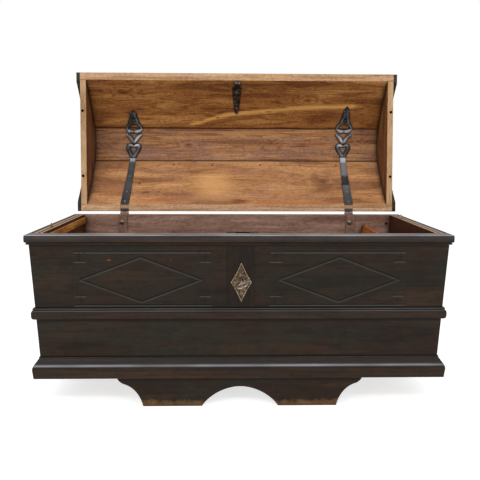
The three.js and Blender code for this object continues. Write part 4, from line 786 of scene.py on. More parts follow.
def carvedHeight(x, z, c):
    # Height over the board: each line is a rounded V, -deep (1 - (d/w)^2), between two low burrs.
    # A rosette is four petals in polar form round the middle of its corner square.
    x = np.abs(x) - c["panelCentre"]  # both panels at once, mirrored in the middle of the chest
    middle, tall = (c["low"] + c["high"]) / 2, (c["high"] - c["low"]) / 2
    z = z - middle
    rise, shift, half = c["lozengeCentre"] - middle, c["lozengeShift"], c["lozengeHalf"]
    foot, top = rise - c["lozengeRise"], rise + c["lozengeRise"]
    tips = [(shift - half, rise), (shift, foot), (shift + half, rise), (shift, top)]
    inX, inZ = c["half"] - c["cornerWide"], tall - c["cornerHigh"]
    upright = [((u * c["half"], -tall), (u * c["half"], tall)) for u in (-1, 1)]
    level = [((-c["half"], v * tall), (c["half"], v * tall)) for v in (-1, 1)]
    for u in (-1, 1):
        for v in (-1, 1):
            upright.append(((u * inX, v * inZ), (u * inX, v * tall)))
            level.append(((u * inX, v * inZ), (u * c["half"], v * inZ)))
    bold = list(zip(tips, tips[1:] + tips[:1]))
    height, mark, edge = 0, 0, 0
    for lines, scale, dark, light in ((upright, 0.7, 0.7, 0.25), (level, 0.75, 0.8, 0.8), (bold, 1.0, 1.0, 0.42)):
        # painted shade on the upper side of each cut and a painted highlight on its lower side, as light from above
        # falls
        wide = c["lineHalf"] * scale
        near, below, above = (
            np.min([segmentDistance(x, z + lift * wide, a, b) for a, b in lines], 0) / wide for lift in (0, -0.75, 0.6)
        )
        burr = c["burr"] * np.exp(-(((near - 1.3) / 0.3) ** 2))
        height = height - c["deep"] * scale * np.clip(1 - near**2, 0, 1) + burr
        mark = np.maximum(mark, np.exp(-((below / 0.7) ** 2)) * dark)
        edge = np.maximum(edge, np.exp(-((above / 0.5) ** 2)) * light)
    px, pz = np.abs(x) - (c["half"] + inX) / 2, np.abs(z) - (tall + inZ) / 2
    radius, turn = np.hypot(px, pz), np.arctan2(pz, px)
    petal = np.clip(1 - radius / (c["petal"] + c["petalSwing"] * np.cos(4 * turn)), 0, 1)
    height = height + c["petalDeep"] * (np.exp(-((radius / c["button"]) ** 2)) - np.sqrt(petal))
    # the petals' hollows are painted dark, a painted shade
    return height.clip(-c["deep"]), np.maximum(mark, 0.8 * np.sqrt(petal)).clip(0, 1), edge.clip(0, 1)


def gridStops(edges, fine, coarse):
    # coarse steps between the carved spans, fine ones inside them
    stops = [np.arange(a, b, fine if n % 2 else coarse) for n, (a, b) in enumerate(zip(edges, edges[1:]))]
    return np.append(np.concatenate(stops), edges[-1])


def carvedFront(c):
    # The face stands proud of the wall by its height and runs out to the ends; a plain back closes it.
    reach = chest["half"] - c["side"]
    inner, outer = c["panelCentre"] - c["half"] - 8, c["panelCentre"] + c["half"] + 8
    share = gridStops([-reach, -outer, -inner, inner, outer, reach], c["fine"], c["coarse"]) / reach
    z = gridStops([c["boardLow"], c["low"] - 6, c["high"] + 6, c["boardHigh"]], c["fine"], c["coarse"])
    zz, ss = np.meshgrid(z, share, indexing="ij")
    xx = ss * (chest["half"] - wallSet(zz) - 1.5)
    height, *marks = carvedHeight(xx, zz, c)
    fade = np.clip((1 - np.abs(ss)) * reach / c["fade"], 0, 1)
    proud = c["proudAtEnd"] + (c["proud"] - c["proudAtEnd"]) * fade * fade * (3 - 2 * fade)
    front = np.stack([xx, wallSet(zz) - proud - height, zz], -1)
    back = np.stack([xx, wallSet(zz) + c["thick"], zz], -1)
    # ring i runs along the front at height i and back along the hidden side
    rings = np.concatenate([front, back[:, [-1, 0]]], 1)
    mark, edge = (np.concatenate([values, np.zeros((len(z), 2))], 1) for values in marks)
    makePiece("carvedFrontFace", [loft(rings)], panelOak, "carcase", crease=80,
              marks={"mark": mark, "edge": edge})


carvedFront(carving)
print("carved front ready")

# the lid, worked out shut and swung open

lid = {
    "deep": 675, "half": 786, "lip": 35, "lipHigh": 11, "shoulderBack": 266, "shoulderFront": 434,
    "innerShoulder": 174, "outerShoulder": 205, "innerCrown": 16, "outerCrown": 14, "sideBow": 9,
    "seat": 684.4, "hingeY": 703.2, "hingeZ": 684.9, "open": 96.7,
    "endOuter": 768.8, "endInner": 740.8, "drop": 10, "arris": 2.2, "uneven": 0.35,
    "joint": 0.15, "pocketHigh": 4.3, "pocketDeep": 43,  # the pockets let the straps through the lip
    "stainedEdge": 1.2, "jointDirt": 3.2, "endShade": 4,  # how wide each of them is
}


def bowed(depth, start, end, low, high, bow):
    # a straight rise between two levels plus 4 bow s (1 - s)
    s = np.clip((depth - start) / (end - start), 0, 1)
    return low + (high - low) * s + 4 * bow * s * (1 - s)


def vaultRise(depth, foot, low, shoulder, crown):
    # two bowed sides with a bowed crown between the shoulders
    a, b, bow = lid["shoulderBack"], lid["shoulderFront"], lid["sideBow"]
    back, top = bowed(depth, foot, a, low, shoulder, bow), bowed(depth, a, b, shoulder, shoulder, crown)
    front = bowed(depth, b, lid["deep"] - foot, shoulder, low, bow)
    return np.where(depth > b, front, np.where(depth <= a, back, top))


def innerRise(depth):
    # the vault seen from inside the open lid
    return vaultRise(depth, lid["lip"], 0, lid["innerShoulder"], lid["innerCrown"])


def outerRise(depth):
    # the vault's top
    return vaultRise(depth, 0, lid["lipHigh"], lid["outerShoulder"], lid["outerCrown"])


def swungOpen(x, depth, rise):
    # shut place (x, back face - depth, seat + rise), turned back round the hinge's axis
    y = backFace - depth - lid["hingeY"]
    z = lid["seat"] + rise - lid["hingeZ"]
    c, s = cos(radians(-lid["open"])), sin(radians(-lid["open"]))
    return np.stack(np.broadcast_arrays(x, lid["hingeY"] + y * c - z * s, lid["hingeZ"] + y * s + z * c), -1)


def slopeAt(depth):
    # how much the inner face rises over 1 mm of depth
    return innerRise(depth + 0.5) - innerRise(depth - 0.5)


def offWood(x, depth, off):
    # the point that stands off the inner face at a depth, square to the face
    slope = slopeAt(depth)
    long = np.sqrt(1 + slope**2)
    return swungOpen(x, depth + off * slope / long, innerRise(depth) - off / long)


def plankPiece(name, start, end, pockets, inside, stands, seed):
    # Stations along X carry the plank's section. Past the end boards the section is thicker, and at a strap
    # the lip is cut away above it; both are steps between two stations at nearly the same place.
    hair = 0.01
    edges = [lid["half"], lid["endOuter"] + hair, lid["endOuter"]]
    edges += [lid["endInner"] + shift for shift in (-8, -4, 0, 4, 8)]
    edges += [-edge for edge in edges]
    for low, high in pockets:
        edges += [low - hair, low, high, high + hair]
    x = np.unique(np.concatenate([edges, np.linspace(-760, 760, 77)]))[:, None]
    past = np.abs(x) > lid["endOuter"] + hair / 10
    cut = sum(((x > low - hair / 10) & (x < high + hair / 10) for low, high in pockets), np.zeros_like(x)) > 0
    first, last = start == 0, end == lid["deep"]
    a, b = start + (not first) * lid["joint"], end - (not last) * lid["joint"]
    within = lambda depth: np.clip(depth, start + 0.001, end)
    pair = lambda depth, rise: np.stack(np.broadcast_arrays(depth, rise, x)[:2], -1)
    span = lambda p, q, count=2: p + (q - p) * np.linspace(0, 1, count)[None, :, None]
    depth = np.linspace(max(a, lid["lip"]), min(b, lid["deep"] - lid["lip"]), 30)
    rise = innerRise(within(depth)) + wander(x, lid["uneven"], seed) * np.sin(pi * (depth - start) / (end - start))
    rise = np.maximum(rise - past * lid["drop"], 0)
    rise = np.where(cut & (depth < lid["pocketDeep"]), np.maximum(rise, lid["pocketHigh"]), rise)
    inner = pair(depth, rise)
    outer = pair(np.linspace(b, a, 26), outerRise(within(np.linspace(b, a, 26))))
    runs = [inner]
    if first:
        runs.insert(0, span(pair(0, np.where(cut, lid["pocketHigh"], 0.0)), inner[:, :1], 4))
    if last:
        runs.append(span(inner[:, -1:], pair(lid["deep"], 0), 4))
    runs += [span(runs[-1][:, -1:], outer[:, :1]), outer, span(outer[:, -1:], runs[0][:, :1])]
    section = roundedLoop(runs, lid["arris"])
    # Material by place round the section, 0 inside, 1 stained and 2 on the lips. The outermost edge is stained,
    # and so is all that lies past the end boards.
    middle = section[len(section) // 2]
    centreDepth, centreRise = ((middle + np.roll(middle, -1, 0)) / 2).T
    fromEdge = np.minimum(centreDepth, lid["deep"] - centreDepth)
    lips = (fromEdge < lid["lip"] - 1) & (centreRise < lid["lipHigh"] - 1.5)
    over = centreRise > innerRise(np.clip(centreDepth, start + 0.01, end)) + 5
    which = np.select([fromEdge < lid["stainedEdge"], lips, over], [1, 2, 1], 0)
    which = np.where(past[:-1] & past[1:], 1, which)
    # dark in the joints between planks, and painted shade where a plank meets an end board: each falls off with the
    # distance from it
    depth, rise = section[..., 0], section[..., 1]
    fromJoint = np.min([np.abs(depth - edge) for edge in (start, end) if 0 < edge < lid["deep"]], 0)
    fromEnd = np.abs(np.abs(x) - lid["endInner"]) + 40 * (rise > innerRise(depth.clip(0, lid["deep"])) + 3)
    mark = 0.8 * np.exp(-((fromEnd / lid["endShade"]) ** 2)) * (depth > lid["lip"])
    mark = np.exp(-((fromJoint / lid["jointDirt"]) ** 2)) + mark
    makePiece(
        name, [loft(swungOpen(x, depth, rise), which)], [inside, lidOuterOak, lipOak], "lid", [stands],
        crease=32, marks={"mark": mark.clip(0, 1)},
    )


# rubbed gives depths, and how pale the strap is painted there, both worn and a painted sheen; stops are where the
# ornament's parts come
straps = {
    "left": {
        "place": -557, "slant": 0.055, "start": 275, "end": 515, "stops": (0, 0.336, 0.525, 0.6, 0.73, 0.84, 1),
        "rubbed": ((0, 60, 130, 200, 256, 262, 280, 286), (0.04, 0.04, 0.1, 0.08, 0.12, 0.6, 0.6, 0.15)),
    },
    "right": {
        "place": 552, "slant": 0.02, "start": 281, "end": 537, "stops": (0, 0.302, 0.48, 0.56, 0.675, 0.765, 1),
        "rubbed": (
            (0, 90, 130, 136, 180, 190, 254, 260, 284, 290), (0.06, 0.1, 0.2, 0.02, 0.05, 0.3, 0.32, 0.85, 0.85, 0.2),
        ),
    },
}
strap = {
    "base": 41, "neck": 28, "thick": 4, "half": 41, "gap": 0.3, "nails": (48, 97, 179), "flat": 41,
    "stops": (0, 0.32, 0.5, 0.58, 0.7, 0.8, 1),
}
pocketHalf = strap["base"] / 2 + strap["gap"]
pockets = [(s["place"] - pocketHalf, s["place"] + pocketHalf) for s in straps.values()]
plankPiece("backLidPlank", 0, lid["shoulderBack"], pockets, backPlank, "lid_plank_back", 0.7)
plankPiece("middleLidPlank", lid["shoulderBack"], lid["shoulderFront"], [], middlePlank, "lid_plank_middle", 2.1)
plankPiece("frontLidPlank", lid["shoulderFront"], lid["deep"], [], frontPlank, "lid_plank_front", 4.8)
print("lid planks ready")

# the ironwork on the lid


def onLid(label, across, depth, height):
    # A point of the ironwork: across from the strap's middle line, at a depth, and a height off the sheet's
    # middle, out of the wood. The middle is a gap and half a thickness off the wood, or in the lip's pocket.
    s = straps[label]
    slope = np.where(depth < strap["flat"], 0, slopeAt(depth))
    long = np.sqrt(1 + slope**2)
    half = strap["thick"] / 2
    middle = np.maximum(innerRise(depth) - (strap["gap"] + half) * long, half)
    x = s["place"] + s["slant"] * np.maximum(depth - lid["lip"], 0) + across
    return swungOpen(x, depth + height * slope / long, middle - height / long)


def atShare(s, share):
    # depth of a share of the ornament's length, with this strap's own spacing of its parts
    return s["start"] + (s["end"] - s["start"]) * np.interp(share, strap["stops"], s["stops"])


def forgedBar(label, outer, inner, high, worn, side=1, count=48, swell=0.0):
    # The bar lies between two edge lines in plan; each station's section spans from one to the other.
    # Its ends thin out over the first and last tenth, and its crest is painted bright by the shares in worn, both wear
    # and a painted glint.
    s = straps[label]
    scale = np.array([strap["half"] * side, 1])
    outer, inner = (throughPoints([(a, atShare(s, b)) for a, b in edge], count) * scale for edge in (outer, inner))
    a, h = superellipse(16, 2.6)
    place = np.linspace(0, 1, count)
    end = np.sqrt(np.clip(np.minimum(place, 1 - place) / 0.08, 0.02, 1))
    reach = ((outer - inner) / 2)[..., None] * a * (0.9 + 0.1 * end[:, None, None])
    across, depth = np.moveaxis(((outer + inner) / 2)[..., None] + reach, 1, 0)
    thick = high * (0.55 + 0.45 * end) * (1 + swell * np.sin(pi * place))
    patchy = np.clip(0.85 + wander(place * 90, 0.5, s["place"] + side + high), 0.4, 1.1)
    wearAndGlint = (np.interp(place, np.linspace(0, 1, len(worn)), worn) * patchy)[:, None] * h.clip(0, 1) ** 7
    return loft(onLid(label, across, depth, thick[:, None] * h + (high - strap["thick"] / 2) * 0.8)), wearAndGlint


# outlines of the right half as (across, along) shares of the half-width and the length, from the neck to the
# tip, outer edge and inner edge, then the height and the painted wear and glint along it
ornament = {
    "heart": (
        [(0.0, 0.0), (0.36, 0.02), (0.52, 0.08), (0.8, 0.155), (0.95, 0.22), (0.93, 0.275), (0.76, 0.312),
         (0.45, 0.32), (0.2, 0.308), (0.03, 0.28)],
        [(0.0, 0.10), (0.05, 0.11), (0.18, 0.15), (0.3, 0.185), (0.38, 0.215), (0.36, 0.24), (0.26, 0.248),
         (0.14, 0.244), (0.05, 0.236), (0.0, 0.226)],
        3.4, (0.25, 0.2, 0.1, 0.05, 0.3, 0.95, 0.95, 0.5),
    ),
    "horn": (
        [(0.0, 0.30), (0.25, 0.325), (0.5, 0.375), (0.78, 0.435), (1.02, 0.478)],
        [(0.0, 0.405), (0.07, 0.415), (0.19, 0.455), (0.48, 0.497), (0.94, 0.52)],
        3.2, (0.3, 0.8, 0.9, 0.8, 0.6),
    ),
    "band": (
        [(0.0, 0.54), (0.3, 0.528), (0.7, 0.54), (1.1, 0.6)],
        [(0.0, 0.6), (0.3, 0.612), (0.62, 0.62), (1.04, 0.64)],
        3.0, (0.35, 0.8, 0.95, 0.6),
    ),
    "arch": (
        [(1.1, 0.6), (1.04, 0.66), (0.88, 0.7), (0.62, 0.732), (0.3, 0.752), (0.0, 0.756)],
        [(0.74, 0.615), (0.72, 0.64), (0.62, 0.664), (0.42, 0.686), (0.2, 0.698), (0.0, 0.7)],
        2.8, (0.3, 0.35, 0.2, 0.1),
    ),
    "leaf": (
        [(0.78, 0.7), (0.66, 0.76), (0.55, 0.81), (0.46, 0.86), (0.36, 0.915), (0.2, 0.965), (0.0, 1.0)],
        [(0.26, 0.715), (0.22, 0.745), (0.14, 0.78), (0.05, 0.8), (0.0, 0.82), (0.0, 0.85), (0.0, 0.9)],
        3.0, (0.15, 0.3, 0.1, 0.25, 0.2),
    ),
}
# across, along, radius, rise, and how bright the top is painted, as wear and a painted glint
bosses = [
    (0.62, 0.58, 10, 5.8, 0.9), (0.26, 0.572, 6, 4.8, 0.9), (0.86, 0.497, 6, 4.4, 0.9), (0.5, 0.288, 8, 5.0, 0.9),
    (0.26, 0.93, 5, 4.2, 0.3),
]


def domes(label):
    # low domes forged on the bars: rings of radius r cos(t) at height rise sin(t), laid along the wood
    turn, up, parts = turns(18), np.linspace(0, 0.97, 7)[:, None] * pi / 2, []
    for across, along, radius, rise, wear in bosses:
        for side in (-1, 1):
            a = side * across * strap["half"] + radius * np.cos(up) * np.cos(turn)
            d = atShare(straps[label], along) + radius * np.cos(up) * np.sin(turn)
            # the top of each dome is painted bright, as wear and a painted glint
            wearAndGlint = np.broadcast_to(wear * np.sin(up) ** 3, a.shape)
            parts.append((loft(onLid(label, a, d, -1 + (rise + 1) * np.sin(up))), wearAndGlint))
    return parts


def plainStrap(label):
    # Stations along the depth carry a chamfered bar whose width falls from the lip to the ornament.
    s = straps[label]
    depth = np.concatenate([np.linspace(-2.5, 34, 8), np.linspace(36, 52, 12), np.linspace(60, s["start"] + 22, 60)])
    wide = np.interp(depth, [0, 35, s["start"], s["start"] + 24], [strap["base"], strap["base"], strap["neck"], 12]) / 2
    wide = wide + wander(depth, 0.25, s["place"])
    a, h = superellipse(24, 5, 0.13)
    # the strap is painted paler along its length, as wear and a painted sheen
    wearAndGlint = np.interp(depth, *s["rubbed"])[:, None] * h.clip(0, 1)
    return loft(onLid(label, wide[:, None] * a, depth[:, None], h * strap["thick"] / 2)), wearAndGlint


eye = {"half": 7.7, "outer": 8.0, "inner": 4.3, "bevel": 0.8, "worn": 0.6, "tabFrom": -7.6, "tabTo": -2}


def strapEye(label):
    # the middle knuckle: a ring round the pin with a tab to the strap, swung open with the lid
    x0, x1 = straps[label]["place"] - eye["half"], straps[label]["place"] + eye["half"]
    outer, inner, low = eye["outer"], eye["inner"], eye["outer"] - eye["worn"]
    x = np.array([x0, x0 + eye["bevel"], x1 - eye["bevel"], x1, x1, x0, x0])
    radius = np.array([outer, outer, outer, low, inner, inner, low])
    turn = turns(32)[:, None]
    ring = np.broadcast_arrays(x, lid["hingeY"] + np.cos(turn) * radius, lid["hingeZ"] + np.sin(turn) * radius)
    across, depth = np.array([x0, x1, x1, x0]), np.repeat([eye["tabFrom"], eye["tabTo"]], 2)
    tab = [swungOpen(across, depth, rise) for rise in (0, strap["thick"])]
    return [closedLoft(np.stack(ring, -1)), loft(np.stack(tab))]


lipMiddle = swungOpen(0, 23, 2)[2]
for label in straps:
    pairs = [plainStrap(label)] + [(part, np.zeros(len(part[0]))) for part in strapEye(label)]
    pairs += [forgedBar(label, *shape, side=side, swell=0.12) for shape in ornament.values() for side in (-1, 1)]
    pairs += domes(label)
    parts = [part for part, wearAndGlint in pairs]
    # where the strap lies on the lip it is rubbed to a light tan, and so is its eye; the strap is the first part
    tan = [np.exp(-(((parts[0][0][:, 2] - lipMiddle) / 9) ** 6))]
    tan += [np.full(len(part[0]), 0.5 if n < 2 else 0.0) for n, part in enumerate(parts[1:])]
    marks = {"mark": np.concatenate(tan), "edge": np.concatenate([wearAndGlint.ravel() for part, wearAndGlint in pairs])}
    makePiece(
        f"{label}StrapIron", parts, blackIron, "lid", [f"hinge_strap_{label}"], crease=45, marks=marks,
    )

nail = {"head": 4.4, "rise": 2.4, "shank": 2.0, "long": 18}


def nailProfile(n, long):
    # shank, underside of the head, then a low rose head
    crown = np.linspace(0, 1, 6)
    head = np.stack([n["head"] * np.cos(crown * 1.45), 0.3 + n["rise"] * np.sin(crown * pi / 2)], -1)
    return np.concatenate([[[n["shank"] * 0.6, -long], [n["shank"], -long + 2], [n["shank"], 0.3]], head])


def lidNail(name, place, depth, stands):
    # a nail driven square into the lid's inner face
    square = offWood(0, depth, 1.0) - offWood(0, depth, 0.0)
    shape = turned(nailProfile(nail, nail["long"]), place, square, facets=0.05, seed=depth)
    makePiece(name, [shape], rubbedIron, "lid", [stands])


for label in straps:
    for n, depth in enumerate(strap["nails"], 1):
        lidNail(f"{label}StrapNail{n}", onLid(label, 0, depth, strap["thick"] / 2), depth, f"strap_nail_{label}_{n}")

# the catch plate and its staple

catch = {
    "place": -4, "low": 500, "high": 612, "thick": 3, "staplePlace": -1, "stapleHalf": 14, "near": 613, "far": 631,
    "drop": 28, "bar": 4, "nails": (527, 592),
    "wide": ((500, 507, 524, 560, 596, 612), (2, 9, 13.5, 17.5, 22.5, 23)),  # depths, and the half-width there
    "bosses": ((518, 4), (541, 5), (563, 6.5), (590, 9)), "bossRise": 1.6,  # depth and radius of each
    "ring": 13, "ringRise": 0.9, "ringWide": 1.6,  # round the last boss
    "border": 2.2, "borderRise": 1.2, "borderWide": 1.3, "bevel": 3,  # in from the plate's edge
}


def catchSheet(c):
    # Rows along the depth, points across: the top face has a raised border, bosses and a ring, each rising by
    # exp(-(distance / width)^2), and the back lies flat a gap off the wood.
    depth = np.linspace(c["low"], c["high"] + 2, 70)[:, None]
    half = np.interp(depth, *c["wide"])
    a = np.linspace(-1, 1, 41)[None, :]
    inward = (1 - np.abs(a)) * half
    border = c["borderRise"] * np.exp(-((inward - c["border"]) / c["borderWide"]) ** 2)
    boss = sum(np.exp(-((a * half / r) ** 2 + ((depth - d) / r) ** 2)) * c["bossRise"] for d, r in c["bosses"])
    fromRing = np.hypot(a * half, depth - c["bosses"][-1][0]) - c["ring"]
    ring = c["ringRise"] * np.exp(-(fromRing / c["ringWide"]) ** 2)
    along = (depth - c["low"]) / (c["high"] - c["low"])
    edge = np.clip(inward / c["bevel"], 0, 1)
    middle = c["thick"] / 2 + strap["gap"]
    top = middle + c["thick"] / 2 * edge + (border + boss + ring) * edge * np.clip(along * 12, 0, 1)
    upper = offWood(c["place"] + a * half, depth, top)
    lower = offWood(c["place"] + a[:, ::-1] * half, depth, middle - c["thick"] / 2)
    return loft(np.concatenate([upper, lower], 1))


def staple(c):
    # a flat bar, as wide as the staple, bent down, across and up again
    half = [(2, 12), (2.4, 4), (5, 2)]  # in from the end, and up from the lowest level
    path = [(c["near"] + a, b - c["drop"]) for a, b in half] + [(c["far"] - a, b - c["drop"]) for a, b in half[::-1]]
    ends = [[[depth, innerRise(depth) - 0.5]] for depth in (c["near"] + 2, c["far"] - 2)]
    path = np.concatenate([ends[0], throughPoints(path, 40), ends[1]])
    tangent = unit(np.gradient(path, axis=0))
    a, h = superellipse(20, 2.6)
    depth = path[:, :1] - tangent[:, 1:] * h * c["bar"] / 2
    rise = path[:, 1:] + tangent[:, :1] * h * c["bar"] / 2
    return loft(swungOpen(c["staplePlace"] + a * c["stapleHalf"], depth, rise))


catchParts = [catchSheet(catch), staple(catch)]
makePiece("catchPlateIron", catchParts, chasedIron, "lid", ["catch_plate"], crease=50)
for n, depth in enumerate(catch["nails"], 1):
    lidNail(f"catchNail{n}", offWood(catch["place"], depth, catch["thick"] + strap["gap"]), depth, f"catch_nail_{n}")
print("lid ironwork ready")

# bolt heads on the hinge leaves, pins, pegs

bolt = {"head": 12.5, "rise": 9, "shank": 4, "shift": 5, "drop": 36, "long": 36}
pin = {"radius": 4, "half": 20, "bevel": 0.8}
leafFace = backFace - chest["backThick"] - chest["gap"] - strap["thick"]
for label, s in straps.items():
    crown = np.linspace(0, 1, 9)
    head = np.stack([bolt["head"] * np.cos(crown * 1.5), 0.3 + (bolt["rise"] - 0.3) * np.sin(crown * pi / 2)], -1)
    profile = np.concatenate([[[bolt["shank"], -bolt["long"]], [bolt["shank"], 0.3]], head])
    place = (s["place"] - bolt["shift"], leafFace, chest["rim"] - bolt["drop"])
    makePiece(f"{label}HingeBolt", [turned(profile, place, (0, -1, 0), around=28, facets=0.015)], rubbedIron, "carcase",
              [f"hinge_bolt_{label}"])
    r, small, long = pin["radius"], pin["radius"] - pin["bevel"], pin["half"] * 2
    profile = [[small, 0], [r, pin["bevel"]], [r, long - pin["bevel"]], [small, long]]
    place = (s["place"] - pin["half"], lid["hingeY"], lid["hingeZ"])
    makePiece(f"{label}HingePin", [turned(profile, place, (1, 0, 0), around=24)], rustIron, "carcase",
              [f"hinge_pin_{label}"])

peg = {"place": 758, "radius": 4, "rise": 19, "deep": 22, "left": 490, "right": 173}  # left and right: in from the back
for label, side in sides:
    r = peg["radius"]
    profile = [
        [r * 0.8, -peg["deep"]], [r, 3 - peg["deep"]], [r, 0], [r * 0.97, 8], [r * 0.86, 15], [r * 0.62, 18],
        [r * 0.2, peg["rise"]],
    ]
    place = (side * peg["place"], backFace - peg[label], chest["rim"])
    makePiece(f"{label}RimPeg", [turned(profile, place, (0, 0, 1), around=18, facets=0.03, seed=side)], pegOak[label],
              "carcase", [f"rim_peg_{label}"])

# the lock plate's rim and nails, and the key

plate = {
    "place": 3, "low": 423.5, "high": 580.5, "half": 40, "thick": 1.6, "waist": 3, "stile": 5, "nailIn": 18,
    "rimIn": 2.0, "rimRadius": 1.7, "rimSunk": 1.5, "bead": 4.2, "swell": 0.22,
}
plateNail = {"head": 3.4, "rise": 2.0, "shank": 1.9}


def plateFace(z):
    # depth of the plate's outer face at a height
    return wallSet(z) - plate["stile"] - chest["gap"] - plate["thick"]


def plateCorners(shrink):
    # the lozenge's four points and the middles of its hollowed sides
    middle = (plate["low"] + plate["high"]) / 2
    wide, tall = plate["half"] - shrink, (plate["high"] - plate["low"]) / 2 - shrink * 2
    points = np.array([[-wide, 0], [0, -tall], [wide, 0], [0, tall]])
    mid = (points + np.roll(points, -1, 0)) / 2
    mid = mid - unit(mid) * plate["waist"]
    return np.stack([points, mid], 1).reshape(-1, 2) + [plate["place"], middle]


def beadedRim():
    # A round bar along the border. Its radius swells at each bead, r (1 + swell cos), so it reads as a row of beads.
    corners = plateCorners(plate["rimIn"])
    loop = np.concatenate([corners, corners[:1]])
    lengths = np.concatenate([[0], np.cumsum(np.linalg.norm(np.diff(loop, axis=0), axis=1))])
    place = np.linspace(0, lengths[-1], 420, endpoint=False)
    x, z = np.interp(place, lengths, loop[:, 0]), np.interp(place, lengths, loop[:, 1])
    forward = unit(np.stack([np.roll(x, -2) - np.roll(x, 2), np.roll(z, -2) - np.roll(z, 2)], -1))
    turn, beads = turns(12), round(lengths[-1] / plate["bead"])
    radius = plate["rimRadius"] * (1 + plate["swell"] * np.cos(place / lengths[-1] * beads * 2 * pi))[:, None]
    return closedLoft(np.stack([
        x[:, None] - forward[:, 1:] * np.cos(turn) * radius,
        (plateFace(z) - plate["rimSunk"])[:, None] + np.sin(turn) * radius,
        z[:, None] + forward[:, :1] * np.cos(turn) * radius,
    ], -1))


makePiece("lockPlateRim", [beadedRim()], rubbedBrass, "carcase", crease=60)
for word, z in (("top", plate["high"] - plate["nailIn"]), ("bottom", plate["low"] + plate["nailIn"])):
    shape = turned(nailProfile(plateNail, 6), (plate["place"], plateFace(z), z), (0, -1, 0), facets=0.04, seed=z)
    makePiece(f"platePin{word.title()}", [shape], pinIron, "carcase", [f"lock_plate_nail_{word}"])

key = {
    "z": 512, "front": -47, "bowLong": 43, "bowWide": 46, "bar": 5.4, "thick": 4.8, "shank": 4.5, "pilot": 2.6,
    "end": 91.7, "tilt": 20, "droop": 9, "bitHalf": 2.5,
}


def keyParts(k):
    # bow: an oval path with a soft flat section, bent down a little from the collar as the photo shows
    front, end, s, pilot = k["front"], k["end"], k["shank"], k["pilot"]
    turn = turns(64)[:, None]
    a, h = superellipse(16, 2.6)
    wide, long = (k["bowWide"] - k["bar"]) / 2, (k["bowLong"] - k["bar"]) / 2
    across = (wide + a * k["bar"] / 2) * np.cos(turn)
    along = -k["bowLong"] / 2 + (long + a * k["bar"] / 2) * np.sin(turn)
    up = np.broadcast_to(h * k["thick"] / 2, across.shape)
    c, d = cos(radians(k["droop"])), sin(radians(k["droop"]))
    bow = closedLoft(np.stack([across, front + along * c - up * d, along * d + up * c], -1))
    # shank: collar rings at the bow, a plain stem, and the pilot
    tip = end - front
    profile = [
        [2, -3], [s + 0.5, -2.6], [s + 1.5, -1], [s + 2.5, 0.6], [s + 2.5, 2.4], [s + 0.8, 3.8], [s + 1.6, 5.4],
        [s + 1.6, 6.6], [s, 8.2], [s, 9], [s, tip - 0.5], [s - 0.5, tip], [pilot, tip], [pilot, tip + 2.6],
        [pilot - 0.4, tip + 3],
    ]
    shank = turned(profile, (0, front, 0), (0, 1, 0), around=28)
    # bit: a flat blade with one ward slot
    blade = [[0, 13], [-14, 13], [-14, 8], [-9, 8], [-9, 5], [-14, 5], [-14, 0], [0, 0]]
    blade = np.array(blade) * [1, -1] + [0, end]
    bit = loft(np.stack([np.column_stack([blade, np.full(len(blade), z)]) for z in (-k["bitHalf"], k["bitHalf"])]))
    c, d = cos(radians(k["tilt"])), sin(radians(k["tilt"]))
    parts = []
    for points, *rest in (bow, shank, bit):
        x, y, z = points.T
        parts.append((np.stack([x * c - z * d + plate["place"], y, x * d + z * c + k["z"]], -1), *rest))
    return parts


makePiece("chestKey", keyParts(key), keySteel, "key", ["key"], crease=45)
print("lock and key ready")

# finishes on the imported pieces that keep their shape


def finish(material, *names):
    # one material over every slot of each named node
    for name in names:
        slots = nodes[name].material_slots
        for slot in slots:
            slot.material = material
        if not slots:
            nodes[name].data.materials.append(material)


finish(frontInner, "front_board_upper")
finish(frontOak, "front_board_lower")
finish(stileOak, "centre_stile")
for label in ("left", "right"):
    finish(endOak[label], f"end_board_{label}_upper", f"end_board_{label}_lower")
    finish(lidEndOak[label], f"lid_end_{label}")
    finish(rustIron, f"hinge_leaf_{label}")
finish(backOak, "back_board_upper", "back_board_lower")
finish(floorOak, "bottom_board_1", "bottom_board_2", "bottom_board_3", "foot_rail_left", "foot_rail_right")
finish(railOak, "hand_rail_left")
finish(tillOak, "till_side", "till_bottom")
finish(blackIron, "lock_case", "lock_bolt")
finish(chasedBrass, "lock_plate")
print("packed pieces finished")

# floor, light and camera

studio = {
    "world": 0.55,
    "lamps": [  # place, width, depth, power
        ((-2.6, -3.4, 3.4), 2.6, 2.6, 80),
        ((2.8, -3.2, 2.6), 2.4, 2.4, 45),
        ((0.0, 0.4, 4.2), 3.2, 3.2, 50),
        ((0.0, -3.4, 3.3), 4.5, 0.35, 55),
    ],
    "aim": (0, 0, 0.6),
    "floorHalf": 40,
    "floorColour": "#c4c4c4",
    "floorGlow": 0.7,
}


def whiteToEye(tree):
    # one for camera, glossy and transmission rays, nought for the rays that light the chest
    path = addNode(tree, "LightPath").outputs
    seen = addNode(tree, "Math", [path["Is Camera Ray"], path["Is Glossy Ray"]], operation="MAXIMUM")
    return addNode(tree, "Math", [seen, path["Is Transmission Ray"]], operation="MAXIMUM")


def stand(thing, right, up, back, place):
    # the columns of its matrix are its three axes and its place
    thing.matrix_world = Matrix((*zip(right, up, back, place), (0, 0, 0, 1)))


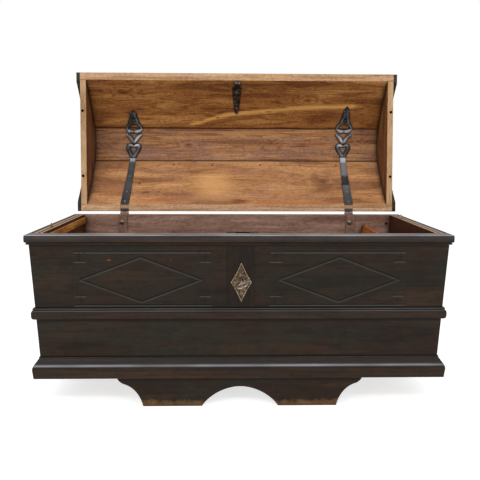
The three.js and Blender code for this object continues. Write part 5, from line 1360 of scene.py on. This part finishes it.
world = bpy.data.worlds.new("paleStudio")
bpy.context.scene.world = world
world.use_nodes = True
tree = world.node_tree
tree.nodes.clear()
strength = addNode(tree, "MapRange", [whiteToEye(tree), 0, 1, studio["world"], 1])
background = addNode(tree, "Background", {"Color": "#ffffff", "Strength": strength})
addNode(tree, "OutputWorld", {"Surface": background})

# a pale painted floor that glows white to the eye and still takes the shadow
floorMaterial, tree = newTree("paleFloor")
glow = addNode(tree, "Math", [whiteToEye(tree), studio["floorGlow"]], operation="MULTIPLY")
paint = addNode(tree, "BsdfDiffuse", {"Color": studio["floorColour"]})
light = addNode(tree, "Emission", {"Color": "#ffffff", "Strength": glow})
addNode(tree, "OutputMaterial", {"Surface": addNode(tree, "AddShader", [paint, light])})
floorMesh = bpy.data.meshes.new("studioFloor")
half = studio["floorHalf"]
floorMesh.from_pydata([(-half, -half, 0), (half, -half, 0), (half, half, 0), (-half, half, 0)], [], [(0, 1, 2, 3)])
floorMesh.materials.append(floorMaterial)
studioFloor = addObject("studioFloor", floorMesh)

for n, (place, wide, deep, power) in enumerate(studio["lamps"], 1):
    lamp = bpy.data.lights.new(f"softLamp{n}", "AREA")
    lamp.shape, lamp.size, lamp.size_y, lamp.energy = "RECTANGLE", wide, deep, power
    toLamp = unit(np.array(place) - studio["aim"])
    side = unit(np.cross([0, 1, 0.01], toLamp))
    stand(addObject(f"softLamp{n}", lamp), side, np.cross(toLamp, side), toLamp, place)

# The camera stands a little left of the middle, 2 m before the chest, and looks 9 degrees down.
view = {"place": (-0.0479, -2.4688, 0.9931), "yaw": -0.0221, "pitch": 0.1597, "roll": 0.0038, "lens": 41.64}
yaw, pitch, roll = view["yaw"], view["pitch"], view["roll"]
right, level, upright = np.array([[cos(yaw), sin(yaw), 0], [-sin(yaw), cos(yaw), 0], [0, 0, 1]])
ahead = level * cos(pitch) - upright * sin(pitch)
above = level * sin(pitch) + upright * cos(pitch)
camera = addObject("photoCamera", bpy.data.cameras.new("photoCamera"))
camera.data.lens, camera.data.sensor_width = view["lens"], 36
stand(camera, right * cos(roll) + above * sin(roll), above * cos(roll) - right * sin(roll), -ahead, view["place"])
bpy.context.scene.camera = camera
bpy.context.scene.view_settings.view_transform = "Standard"
print("studio ready")
